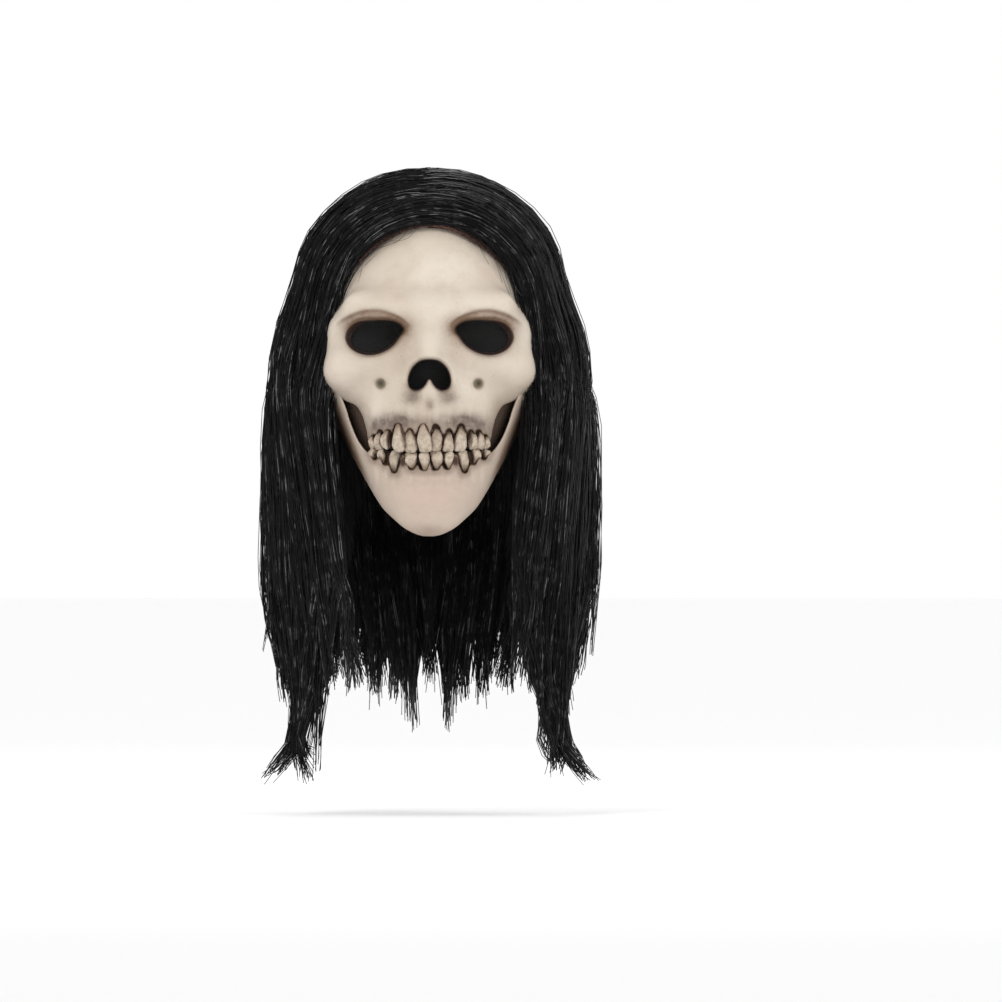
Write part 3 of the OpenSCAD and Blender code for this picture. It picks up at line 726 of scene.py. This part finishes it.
def toothPiece(name, row, i, clay, body, seat, rng):
    middle, width = row["middles"][i], row["widths"][i]
    root, edge = row["roots"][i], row["edges"][i]
    shape = toothShape
    lean = math.radians(row["leans"][i])
    turn = 2 * math.pi * np.arange(shape["sides"]) / shape["sides"]
    half = (root + edge) / 2
    reach = 1.5                         # each side of the tooth's middle, to find the gum's slant
    back = min(clay.surfaceY(middle, z) for z in (root, half)) + shape["sunk"] + seat
    ahead = clay.surfaceY(abs(middle) + reach, half) - clay.surfaceY(max(abs(middle) - reach, 0), half)
    yaw = math.copysign(math.atan2(ahead, 2 * reach), middle)
    wave = rng.uniform(0, 6.28, 4)
    points, heights, sides = [], [], []
    for h, b, d in zip(shape["heights"], shape["breadths"], shape["depths"]):
        swell = 1 + 0.08 * np.sin(3 * turn + wave[0] + 5 * h) + 0.06 * np.sin(5 * turn + wave[1] - 9 * h) \
            + 0.035 * np.sin(9 * turn + 17 * h + wave[3])
        across = width / 2 * b * np.sign(np.cos(turn)) * np.abs(np.cos(turn)) ** 0.8 * swell
        out = shape["thick"] / 2 * d * np.sign(np.sin(turn)) * np.abs(np.sin(turn)) ** 0.85 * swell
        across = across + 0.30 * math.sin(wave[2] + 5 * h)
        up = (edge - root) * h * np.ones(len(turn))
        if h > 0.9:
            up = up + math.copysign(0.45, edge - root) * np.sin(2 * turn + wave[3]) * b
        x0, z0 = across * math.cos(lean) - up * math.sin(lean), across * math.sin(lean) + up * math.cos(lean)
        y0 = out - 1.4 * math.sin(math.pi * min(h * 0.8, 1))
        points += list(zip(middle + x0 * math.cos(yaw) - y0 * math.sin(yaw),
                           back + x0 * math.sin(yaw) + y0 * math.cos(yaw), root + z0))
        heights += [h] * len(turn)
        # painted shade on each tooth's sides, less towards the edge
        sides += list(np.abs(np.cos(turn)) ** 2.2 * (1 - 0.35 * h))
    n, rings = shape["sides"], len(shape["heights"])
    faces = [(r * n + k, r * n + (k + 1) % n, (r + 1) * n + (k + 1) % n, (r + 1) * n + k)
             for r in range(rings - 1) for k in range(n)]
    faces += [tuple(range(n))[::-1], tuple(range((rings - 1) * n, rings * n))]
    if edge < root:
        faces = [f[::-1] for f in faces]
    piece = meshPiece(name + "Enamel", np.array(points) * mm, faces, toothPaint)
    giveAttribute(piece, "toothHeight", heights)
    giveAttribute(piece, "toothSideShade", sides)
    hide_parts(name)
    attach(piece, body)
    return piece


def setTeeth(faceClay, jawClay):
    rng = np.random.default_rng(11)
    for i in range(len(upperTeeth["middles"])):
        recessed = toothShape["recessed"].get(i, 0.0)
        toothPiece(f"upper_tooth_{i + 1}", upperTeeth, i, faceClay, "mask", recessed, rng)
    for i in range(len(lowerTeeth["middles"])):
        toothPiece(f"lower_tooth_{i + 1}", lowerTeeth, i, jawClay, "jaw", 0.0, rng)


print("latex face")
faceMade = sculptFace()
faceLatex = latexPiece("faceLatexSkin", faceMade, faceSkinPaint)
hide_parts("face_skin")
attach(faceLatex, "mask")
print("latex jaw")
jawMade = sculptJaw()
jawLatex = latexPiece("jawLatexSkin", jawMade, jawSkinPaint)
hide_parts("jaw_skin")
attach(jawLatex, "jaw")
print("teeth")
setTeeth(faceMade[0], jawMade[0])


def sheetPiece(name, front, back, paint, wraps=False):      # a closed sheet from two grids of points
    h, w = front.shape[:2]
    n = h * w
    points = np.concatenate([front.reshape(-1, 3), back.reshape(-1, 3)])
    last = w if wraps else w - 1
    faces = []
    for j in range(h - 1):
        for i in range(last):
            k = (i + 1) % w
            faces.append((j * w + i, j * w + k, (j + 1) * w + k, (j + 1) * w + i))
    faces += [tuple(k + n for k in f[::-1]) for f in faces]
    if wraps:
        rims = [list(range(w))[::-1], [(h - 1) * w + i for i in range(w)]]
    else:
        rims = [[(h - 1) * w + i for i in range(w)] + [j * w + w - 1 for j in range(h - 2, -1, -1)]
                + list(range(w - 2, -1, -1)) + [j * w for j in range(1, h - 1)]]
    for rim in rims:
        faces += [(a, b, b + n, a + n) for a, b in zip(rim, rim[1:] + rim[:1])]
    return meshPiece(name, points * mm, faces, paint)


gauzeThick = 0.8                        # mm


def gauzeSheet(name, low, high, steps, surface, paint, node, body):
    across = np.linspace(low[0], high[0], steps[0])
    upward = np.linspace(low[1], high[1], steps[1])
    front = np.array([[surface(x, z) for x in across] for z in upward])
    piece = sheetPiece(name, front, front + np.array([0, gauzeThick, 0]), paint)
    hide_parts(node)
    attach(piece, body)
    return piece


def eyeGauze(side, sign):
    face = faceMade[0]

    def surface(x, z):
        near = max(face.surfaceY(x + i, z + k) for i in (-1.5, 0, 1.5) for k in (-1.5, 0, 1.5))
        return sign * x, near + sculpt["wall"] + 0.25, z
    low, high = ((10, 6), (44, 28)) if sign > 0 else ((44, 6), (10, 28))
    gauzeSheet(f"eyeGauze{side.title()}", low, high, (24, 16), surface, gauzePaint,
               f"eye_screen_{side}", "mask")


def noseGauze():
    depth = faceMade[0].surfaceY(7, -4) + sculpt["wall"] + 0.3

    def surface(x, z):
        return x, depth + 0.02 * x * x, z
    gauzeSheet("noseGauze", (-13, -12), (13, 9), (20, 16), surface, gauzePaint,
               "nose_screen", "mask")


def cheekGauze(side, sign):
    def surface(b, z):
        width = float(jawHalfWidth(np.array(z))) - 5.5
        middle = 0.62 * z
        turn = math.radians(b)
        return sign * width * math.sin(turn), middle - (middle + 65.5) * math.cos(turn), z
    low, high = ((40, -41), (76, -9)) if sign > 0 else ((76, -41), (40, -9))
    gauzeSheet(f"cheekGauze{side.title()}", low, high, (22, 18), surface, liningPaint,
               f"jaw_lining_{side}", "jaw")


print("gauze")
for side, sign in (("left", 1), ("right", -1)):
    eyeGauze(side, sign)
    cheekGauze(side, sign)
noseGauze()


hairPlan = {
    "centre": (0.0, 5.5, 0.0),
    "radii": (75.0, 85.5, 97.5),
    "points": 23,
    "overHead": 13,          # points that lie over the head, above the ears
    "wave": 5.0,             # mm
    "drift": 6.0,
    "guides": 60,            # for each piece
}


def edgeLine(count):                    # the front edge of the hair, round the face
    return curveThrough([(0, -49.5, 75.5), (13.5, -50, 74), (28, -49.5, 67.5), (39.5, -48.5, 56),
                         (46.6, -47, 42), (49.0, -46, 27.5), (50.4, -44.5, 12), (52, -42.5, -4)], count)


def domePath(v, lift, count, startX):   # over the head from the middle line to the ear
    top = np.array([startX, -46 + 100 * v ** 0.9, 0])
    top[2] = 97.5 * math.sqrt(max(1 - ((top[1] - 5.5) / 85.5) ** 2, 0.05))
    turn = math.radians(47 + 133 * v)
    ear = np.array([75 * math.sin(turn), 5.5 - (80 if v < 0.33 else 84) * math.cos(turn), -4.0])
    t = np.linspace(0, math.pi / 2, count)[:, None]
    c, r = np.array(hairPlan["centre"]), np.array(hairPlan["radii"])
    p = c + (top - c) * np.cos(t) + (ear - c) * np.sin(t)
    p = c + (p - c) / np.linalg.norm((p - c) / r, axis=1, keepdims=True) * lift
    p[:, 0] *= 1 - 0.075 * np.exp(-((p[:, 2] - 42) / 21) ** 2)
    return p


def strandPath(v, lift, fall, rng):     # v runs from the front edge, 0, to the middle of the back, 1
    upper = hairPlan["overHead"]
    line = domePath(v, lift, upper, rng.uniform(-9, 3))
    pull = np.clip(1 - v / 0.5, 0, 1) ** 1.4
    line = line + (edgeLine(upper) - domePath(0, 1.0, upper, 0)) * pull
    line[:, 1] += (1 - lift) * 30 * pull
    lower = curveThrough([line[-1]] + fall(v, line[-1], rng), hairPlan["points"] - upper + 1)[1:]
    whole = np.concatenate([line, lower])
    s = np.linspace(0, 1, len(whole))[:, None]
    wave = np.sin(rng.uniform(0, 6.3, 2) + rng.uniform(6, 17) * s) * s ** 1.5 * hairPlan["wave"]
    whole[:, :2] += wave * rng.uniform(0.3, 1)
    drift = np.sin(math.pi * s) ** 2 * smoothStep(s, 0.35, 0.65) * hairPlan["drift"]
    whole[:, :2] += rng.normal(0, 0.4, 2) * drift
    return whole


def hairGuides(lowV, highV, fall, seed):
    rng = np.random.default_rng(seed)
    count = hairPlan["guides"]
    lines = []
    for i in range(count):
        v = lowV + (highV - lowV) * (i + rng.random()) / count
        lines.append(strandPath(v, rng.uniform(0.93, 1.0), fall, rng))
    return np.array(lines)


lockPlan = {
    "frontShare": 0.42,      # how much of the hairline feeds the front lock
    "hinge": 0.068,          # metres to the side, where the lock turns
    "heights": (-4, -25, -50, -80, -110, -140, -150, -165, -180, -202),
    "inner": (53.5, 49.5, 46.5, 43.5, 42, 42.6, 44, 49, 54.5, 57.5),
    "outer": (75, 76.5, 77.5, 77.5, 77, 73, 71.5, 70, 68, 66),
    "frontY": (-41, -42, -41, -39, -37, -33, -31, -29, -27, -24),
    "backY": (24, 23, 22, 21, 15, 8, 4, -3, -9, -16),
}


def lockPoint(share, z, rng):           # share is 0 at the inner edge and 1 at the outer edge
    heights = [-h for h in lockPlan["heights"]]
    inner, outer, front, back = (np.interp(-z, heights, lockPlan[key])
                                 for key in ("inner", "outer", "frontY", "backY"))
    x = inner + (outer - inner) * share ** np.interp(-z, [0, 150], [0.6, 0.9]) + rng.uniform(-1, 1)
    x -= rng.uniform(-1, 3) * smoothStep(share, 0.3, 0) * smoothStep(-z, 20, 60)
    return x, front + (back - front) * share + rng.uniform(-1, 1), z


def lockFall(v, start, rng):            # the front locks narrow to a few pointed ends
    share = np.clip(v / lockPlan["frontShare"], 0, 1)
    kind = rng.random()
    if 0.30 < share and kind < 0.17:    # ends that curl outwards
        mid = lockPoint(0.5 + 0.3 * share, -150, rng)
        return [lockPoint(share, -25, rng), lockPoint(share, -100, rng), mid, lockPoint(0.7, -178, rng),
                (rng.uniform(67, 73), -21, -190), (rng.uniform(73, 81), -21, rng.uniform(-202, -196))]
    if 0.12 < share and kind < 0.36:    # straight ends
        low = rng.uniform(-201, -184)
        return [lockPoint(share, -25, rng), lockPoint(share, -100, rng),
                lockPoint(0.15 + 0.6 * share, -150, rng), lockPoint(rng.uniform(0.1, 0.9), -178, rng),
                (rng.uniform(56.5, 64.5), -20, low)]
    if share > 0.8 and kind > 0.93:     # a few loose strands outside
        return [lockPoint(share, -25, rng), lockPoint(1, -90, rng), (rng.uniform(77, 80), -4, -118),
                (rng.uniform(79, 83), -6, rng.uniform(-150, -128))]
    low = -np.interp(share, [0, 0.15, 0.45, 0.8, 1.0], [146, 158, 178, 176, 158]) + rng.uniform(-4, 22)
    return [lockPoint(share, -25, rng), lockPoint(share, 0.5 * low - 20, rng),
            lockPoint(share, 0.75 * low - 10, rng),
            lockPoint(np.clip(share + rng.uniform(-0.1, 0.1), 0, 1), low, rng)]


def backFall(v, start, rng):            # the back hair ends in ragged points
    turn = math.radians(47 + 133 * v)
    r = rng.uniform(0.70, 0.97)
    x = 74 * r * math.sin(turn)
    low = -np.interp(x, [0, 6, 11, 17, 25, 33, 42, 50, 75], [163, 166, 179, 166, 165, 160, 151, 146, 142])
    low += rng.uniform(-2, 16) if rng.random() < 0.85 else rng.uniform(-8, 0)
    end = (x * rng.uniform(0.9, 1.04) + rng.normal(0, 2.5), 5.5 - 82 * r * math.cos(turn), low)
    middle = (start[0] * (0.45 + 0.55 * r), start[1] * (0.4 + 0.6 * r), -100)
    return [(start[0] * 1.01, start[1] + 1.5, -50), middle, end]


def strandTree():
    tree = bpy.data.node_groups.new("strandsFromGuides", "GeometryNodeTree")
    face = tree.interface
    face.new_socket("Geometry", in_out="INPUT", socket_type="NodeSocketGeometry")
    for name, kind, value in (
            ("Strands", "NodeSocketInt", 10), ("Root Spread", "NodeSocketFloat", 0.002),
            ("Middle Spread", "NodeSocketFloat", 0.003), ("Tip Spread", "NodeSocketFloat", 0.001),
            ("Thickness", "NodeSocketFloat", 0.0002), ("Frizz", "NodeSocketFloat", 0.001),
            ("Shortest", "NodeSocketFloat", 0.85), ("Seed", "NodeSocketInt", 1),
            ("Material", "NodeSocketMaterial", None)):
        made = face.new_socket(name, in_out="INPUT", socket_type=kind)
        if value is not None:
            made.default_value = value
    face.new_socket("Geometry", in_out="OUTPUT", socket_type="NodeSocketGeometry")
    nodes, links = tree.nodes, tree.links
    given = nodes.new("NodeGroupInput")

    def make(kind, settings=None, sockets=None):
        n = nodes.new(kind)
        for key, value in (settings or {}).items():
            setattr(n, key, value)
        for key, value in (sockets or {}).items():
            if isinstance(value, bpy.types.NodeSocket):
                links.new(value, n.inputs[key])
            else:
                n.inputs[key].default_value = value
        return n

    def calc(operation, a, b=0.0):
        return make("ShaderNodeMath", {"operation": operation}, {0: a, 1: b}).outputs[0]

    def vec(operation, a, b, scale=None):
        sockets = {0: a}
        if b is not None:
            sockets[1] = b
        if scale is not None:
            sockets["Scale"] = scale
        return make("ShaderNodeVectorMath", {"operation": operation}, sockets).outputs[0]

    guides = make("GeometryNodeMeshToCurve", None, {"Mesh": given.outputs["Geometry"]}).outputs[0]
    many = make("GeometryNodeDuplicateElements", {"domain": "SPLINE"},
                {"Geometry": guides, "Amount": given.outputs["Strands"]}).outputs[0]
    index = make("GeometryNodeInputIndex").outputs[0]

    def perStrand(low, high, extra, data="FLOAT_VECTOR"):
        seed = calc("ADD", given.outputs["Seed"], extra)
        rand = make("FunctionNodeRandomValue", {"data_type": data})
        for s in rand.inputs:
            if s.name == "Min" and s.enabled:
                s.default_value = low
            if s.name == "Max" and s.enabled:
                s.default_value = high
            if s.name == "ID":
                links.new(index, s)
            if s.name == "Seed":
                links.new(seed, s)
        value = next(s for s in rand.outputs if s.enabled)
        held = make("GeometryNodeFieldOnDomain", {"domain": "CURVE", "data_type": data})
        links.new(value, held.inputs[0])
        return held.outputs[0]

    way = perStrand((-1, -1, -1), (1, 1, 1), 0)
    shade = perStrand(0.0, 1.0, 7, "FLOAT")
    length = perStrand(0.0, 1.0, 13, "FLOAT")
    along = make("GeometryNodeSplineParameter").outputs["Factor"]
    first = make("ShaderNodeMapRange", {"interpolation_type": "SMOOTHSTEP"}, {
        "Value": along, "From Max": 0.45, "To Min": given.outputs["Root Spread"],
        "To Max": given.outputs["Middle Spread"]}).outputs[0]
    last = make("ShaderNodeMapRange", {"interpolation_type": "SMOOTHSTEP"}, {
        "Value": along, "From Min": 0.62, "From Max": 1.0, "To Min": 0.0, "To Max": 1.0}).outputs[0]
    gap = calc("SUBTRACT", given.outputs["Tip Spread"], given.outputs["Middle Spread"])
    spread = calc("ADD", first, calc("MULTIPLY", gap, last))
    loose = calc("MULTIPLY", calc("POWER", length, 16.0), calc("POWER", along, 2.0))
    stray = calc("ADD", 1.0, calc("MULTIPLY", loose, 1.1))
    aside = vec("SCALE", way, None, calc("MULTIPLY", spread, stray))
    place = make("GeometryNodeInputPosition").outputs[0]
    lookup = vec("ADD", vec("SCALE", place, None, 34.0), vec("SCALE", way, None, 9.0))
    curl = make("ShaderNodeTexNoise", None, {"Vector": lookup, "Scale": 1.0, "Detail": 1.0}).outputs["Color"]
    calm = calc("SUBTRACT", 1.0, calc("MULTIPLY", last, 0.55))
    curlSize = calc("MULTIPLY", calc("MULTIPLY", given.outputs["Frizz"], along), calm)
    curl = vec("SCALE", vec("SUBTRACT", curl, (0.5, 0.5, 0.5)), None, curlSize)
    moved = make("GeometryNodeSetPosition", None, {
        "Geometry": many, "Offset": vec("ADD", aside, curl)}).outputs[0]
    shortest = given.outputs["Shortest"]
    end = calc("ADD", shortest, calc("MULTIPLY", length, calc("SUBTRACT", 1.0, shortest)))
    trim = make("GeometryNodeTrimCurve", {"mode": "FACTOR"}, {"Curve": moved})
    links.new(end, next(s for s in trim.inputs if s.name == "End" and s.enabled))
    taper = calc("SUBTRACT", 1.0, calc("MULTIPLY", calc("POWER", along, 6.0), 0.85))
    thin = make("GeometryNodeSetCurveRadius", None, {"Curve": trim.outputs[0], "Radius": taper}).outputs[0]
    named = make("GeometryNodeStoreNamedAttribute", {"data_type": "FLOAT", "domain": "CURVE"},
                 {"Geometry": thin, "Name": "strandShade", "Value": shade}).outputs[0]
    ring = make("GeometryNodeCurvePrimitiveCircle", {"mode": "RADIUS"}, {
        "Resolution": 3, "Radius": given.outputs["Thickness"]}).outputs[0]
    tubes = make("GeometryNodeCurveToMesh", None, {
        "Curve": named, "Profile Curve": ring, "Fill Caps": True}).outputs[0]
    real = make("GeometryNodeRealizeInstances", None, {"Geometry": tubes}).outputs[0]
    done = make("GeometryNodeSetMaterial", None, {
        "Geometry": real, "Material": given.outputs["Material"]}).outputs[0]
    out = nodes.new("NodeGroupOutput")
    links.new(done, out.inputs[0])
    return tree


strands = strandTree()


def grow(name, guides, settings, paint, tree=None):
    tree = tree or strands
    count, steps = guides.shape[:2]
    data = bpy.data.meshes.new(name + "Guides")
    data.vertices.add(count * steps)
    data.vertices.foreach_set("co", (guides.reshape(-1) * mm).astype(np.float32))
    ends = np.arange(count * steps).reshape(count, steps)
    data.edges.add(count * (steps - 1))
    data.edges.foreach_set("vertices", np.stack([ends[:, :-1], ends[:, 1:]], -1).reshape(-1))
    holder = bpy.data.objects.new(name + "Guides", data)
    bpy.context.scene.collection.objects.link(holder)
    modifier = holder.modifiers.new("strands", "NODES")
    modifier.node_group = tree
    keys = {s.name: s.identifier for s in tree.interface.items_tree if s.in_out == "INPUT"}
    for key, value in settings.items():
        modifier[keys[key]] = value
    modifier[keys["Material"]] = paint
    dg = bpy.context.evaluated_depsgraph_get()
    mesh = bpy.data.meshes.new_from_object(holder.evaluated_get(dg))
    mesh.name = name
    bpy.data.objects.remove(holder)
    bpy.data.meshes.remove(data)
    if not mesh.materials:
        mesh.materials.append(paint)
    piece = bpy.data.objects.new(name, mesh)
    bpy.context.scene.collection.objects.link(piece)
    print(name, count, "guides", len(mesh.polygons), "faces")
    return piece


strandSizes = {
    "Strands": 23,
    "Root Spread": 0.0035,   # metres
    "Middle Spread": 0.0041,
    "Tip Spread": 0.0009,
    "Thickness": 0.00021,
    "Frizz": 0.0085,
    "Shortest": 0.84,        # the shortest strand as a share of the longest
    "Seed": 3,
}


def mirrored(guides):
    return guides * np.array([-1, 1, 1])


felt = {
    "halfWidth": 70,         # mm
    "depth": 79,
    "wall": 1.2,
    "bottom": -134,
    "top": 24,
    "sideLift": 34,          # how much shorter it is at the sides
}


def underHair():                        # a dark felt beneath the strands of the back
    turns = np.radians(np.linspace(100, 260, 90))
    atSides = smoothStep(np.abs(np.sin(turns)), 0.40, 0.85)
    heights = np.linspace(felt["bottom"], felt["top"], 32)
    shells = []
    for shrink in (0.0, felt["wall"]):
        rows = []
        for z in heights:
            shorter = felt["sideLift"] * atSides * smoothStep(-z, 40, -felt["bottom"])
            ragged = shorter + (4 * np.sin(23 * turns) + 3 * np.sin(41 * turns)) * smoothStep(-z, 96, 130)
            inward = 6 * smoothStep(-z, 30, 110) + shrink
            x = (felt["halfWidth"] - inward) * np.sin(turns)
            y = 5 - (felt["depth"] - inward) * np.cos(turns)
            rows.append(np.stack([x, y, z + ragged], 1))
        shells.append(np.array(rows))
    piece = sheetPiece("underFelt", shells[0], shells[1], underPaint)
    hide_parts("back_hair", "nape_hair")
    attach(piece, "mask")


def growHair():
    for number in range(2):
        for side, sign in (("left", 1), ("right", -1)):
            guides = hairGuides(0.0, lockPlan["frontShare"], lockFall, 100 + number + (sign < 0) * 7)
            if sign < 0:
                guides = mirrored(guides)
            piece = grow(f"{side}Lock{number + 1}", guides, {**strandSizes, "Seed": 3 + number}, hairPaint)
            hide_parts(f"front_lock_{side}")
            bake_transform(piece)
            guides = hairGuides(0.40, 1.0, backFall, 200 + number)
            if sign < 0:
                guides = mirrored(guides)
            piece = grow(f"{side}Back{number + 1}", guides, {**strandSizes, "Seed": 13 + number}, litHairCopy)
            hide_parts("crown_hair", "back_hair", "nape_hair")
            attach(piece, "mask")


wisps = {
    "count": 44,
    "seed": 41,
    "sizes": {"Strands": 1, "Root Spread": 0.001, "Middle Spread": 0.0014, "Tip Spread": 0.002,
              "Thickness": 0.00009, "Frizz": 0.006, "Shortest": 0.5, "Seed": 60},
}


def growWisps():                        # a few loose hairs across the top of the forehead
    rng = np.random.default_rng(wisps["seed"])
    lines = []
    for i in range(wisps["count"]):
        edge = edgeLine(hairPlan["points"])
        s = np.linspace(0, 1, len(edge))
        part = rng.uniform(0, 0.42) + s * rng.uniform(0.18, 0.42)
        line = np.stack([np.interp(part, s, edge[:, k]) for k in range(3)], 1)
        inward = rng.uniform(5, 12) * np.sin(2.7 * s + 0.2) + rng.uniform(0, 2)
        line[:, [0, 2]] *= 1 - 0.010 * inward[:, None]
        line[:, 0] += rng.uniform(-6, 6)
        brow = 1 - (line[:, 0] / 61) ** 2 - ((line[:, 2] - 10) / 79) ** 2
        line[:, 1] = np.minimum(line[:, 1], -70.4 * np.sqrt(np.clip(brow, 0, 1))) - 0.6
        lines.append(line * np.array([rng.choice([-1, 1]), 1, 1]))
    piece = grow("foreheadWisps", np.array(lines), {**strandSizes, **wisps["sizes"]}, hairPaint)
    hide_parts("crown_hair")
    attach(piece, "mask")


print("hair")
underHair()
growHair()
growWisps()


cap = {
    "halfWidth": 59.4,
    "front": 68.4,
    "back": 80.0,
    "top": 87.0,
    "hairline": 71.0,
    "net": (2.1, 2.9),       # how far out the net and the sewn strips lie
    "sewn": (3.4, 4.1),
    "wefts": ((-30, 40), (-12, 50), (8, 57), (30, 104), (52, 108)),      # height and half reach
    "stitch": {"Spacing": 0.0032, "Length": 0.0011, "Thickness": 0.00032},
}


def capPoint(a, z, r):                  # a is the angle from the face in degrees, z the height
    s = np.degrees(np.arcsin(np.clip(z / (cap["top"] + r), 0, 1)))
    k = np.cos(np.radians(s)) ** 0.87
    back = cap["back"] - 11 * smoothStep(-z, 0, 42)
    turn = np.radians(a)
    depth = np.where(np.cos(turn) > 0, cap["front"], back)
    return np.stack([(cap["halfWidth"] + r) * k * np.sin(turn), -(depth + r) * k * np.cos(turn),
                     np.where(z < 0, z, (cap["top"] + r) * np.sin(np.radians(s)))], -1)


def hairlineHeight(a):
    return 20 + (cap["hairline"] - 20) * np.maximum(1 - (np.minimum(np.abs(a), 56.9) / 57) ** 2, 0) ** 0.6


def capSheet(name, angles, low, high, rows, outsets, paint, node, wraps=False):
    share = np.linspace(0, 1, rows)[:, None]
    z = low + (high - low) * np.sin(share * math.pi / 2) if wraps else low + (high - low) * share
    grids = [capPoint(np.broadcast_to(angles, z.shape), z, r) for r in (outsets[1], outsets[0])]
    piece = sheetPiece(name, grids[0], grids[1], paint, wraps)
    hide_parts(node)
    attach(piece, "mask")


def stitchTree():
    tree = bpy.data.node_groups.new("stitchesAlongSeams", "GeometryNodeTree")
    tree.interface.new_socket("Geometry", in_out="INPUT", socket_type="NodeSocketGeometry")
    for name, kind, value in (
            ("Spacing", "NodeSocketFloat", 0.003), ("Length", "NodeSocketFloat", 0.001),
            ("Thickness", "NodeSocketFloat", 0.0003), ("Material", "NodeSocketMaterial", None)):
        made = tree.interface.new_socket(name, in_out="INPUT", socket_type=kind)
        if value is not None:
            made.default_value = value
    tree.interface.new_socket("Geometry", in_out="OUTPUT", socket_type="NodeSocketGeometry")
    given, out = tree.nodes.new("NodeGroupInput"), tree.nodes.new("NodeGroupOutput")

    def make(kind, settings, links):
        n = tree.nodes.new(kind)
        for key, value in settings.items():
            setattr(n, key, value)
        for key, value in links.items():
            tree.links.new(value, n.inputs[key])
        return n.outputs[0]
    seams = make("GeometryNodeMeshToCurve", {}, {"Mesh": given.outputs["Geometry"]})
    evenly = make("GeometryNodeResampleCurve", {"mode": "LENGTH"}, {
        "Curve": seams, "Length": given.outputs["Spacing"]})
    way = make("GeometryNodeInputTangent", {}, {})
    turn = make("FunctionNodeAlignRotationToVector", {"axis": "X"}, {"Vector": way})
    bead = make("GeometryNodeMeshIcoSphere", {}, {"Radius": given.outputs["Thickness"]})
    ratio = make("ShaderNodeMath", {"operation": "DIVIDE"}, {
        0: given.outputs["Length"], 1: given.outputs["Thickness"]})
    size = tree.nodes.new("ShaderNodeCombineXYZ")
    size.inputs["Y"].default_value = 1
    size.inputs["Z"].default_value = 1
    tree.links.new(ratio, size.inputs["X"])
    many = make("GeometryNodeInstanceOnPoints", {}, {
        "Points": evenly, "Instance": bead, "Rotation": turn, "Scale": size.outputs[0]})
    real = make("GeometryNodeRealizeInstances", {}, {"Geometry": many})
    done = make("GeometryNodeSetMaterial", {}, {"Geometry": real, "Material": given.outputs["Material"]})
    tree.links.new(done, out.inputs[0])
    return tree


def sewCap():
    around = np.linspace(-180, 180, 97)[:-1]
    side = np.abs(around)
    edge = np.where(side < 66, np.maximum(hairlineHeight(around) + 3, 22), 22)
    edge = np.where(side > 110, 22 - 64 * smoothStep(side, 110, 148), edge)
    crown = cap["top"] + cap["net"][1] - 0.02
    capSheet("capNet", around, edge, crown, 26, cap["net"], netPaint, "wig_cap", wraps=True)
    angles = np.linspace(-56, 56, 80)
    low = hairlineHeight(angles) - 0.6
    high = np.minimum(low + 8.5, 81)
    capSheet("frontBand", angles, low, high, 4, cap["sewn"], bandPaint, "hairline_band")
    seams = [capPoint(angles, low + up, cap["sewn"][1]) for up in (1.2, 6.6)]
    for i, (z, reach) in enumerate(cap["wefts"]):
        angles = np.linspace(180 - reach, 180 + reach, 80)
        low = np.full(len(angles), float(z))
        capSheet(f"weft{i + 1}", angles, low, low + 5, 3, cap["sewn"], weftPaint,
                 f"weft_track_{i + 1}")
        seams += [capPoint(angles, low + up, cap["sewn"][0]) for up in (1.3, 3.7)]
    seams = np.array(seams)
    piece = grow("capStitches", seams, cap["stitch"], threadPaint, stitches)
    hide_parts("hairline_band")
    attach(piece, "mask")


print("cap")
stitches = stitchTree()
sewCap()


finishes = {
    "jaw_rivet_left": nickelPaint, "jaw_rivet_right": nickelPaint,
    "rivet_cap_left": nickelPaint, "rivet_cap_right": nickelPaint,
    "jaw_washer_left": nickelPaint, "jaw_washer_right": nickelPaint,
    "nape_strap": elasticPaint, "nape_slider": plasticPaint,
}


def paintFrame():
    for name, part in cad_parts.items():
        paint = finishes.get(name)
        if paint is None:
            continue
        part.data.materials.clear()
        part.data.materials.append(paint)


def layFloor():
    size = 20.0
    z = studio["floor"]
    points = [(-size, -size, z), (size, -size, z), (size, size, z), (-size, size, z)]
    floor = meshPiece("floor", points, [(0, 1, 2, 3)], stageFloor(), smooth=False)


print("frame parts")
paintFrame()
layFloor()
print("done")
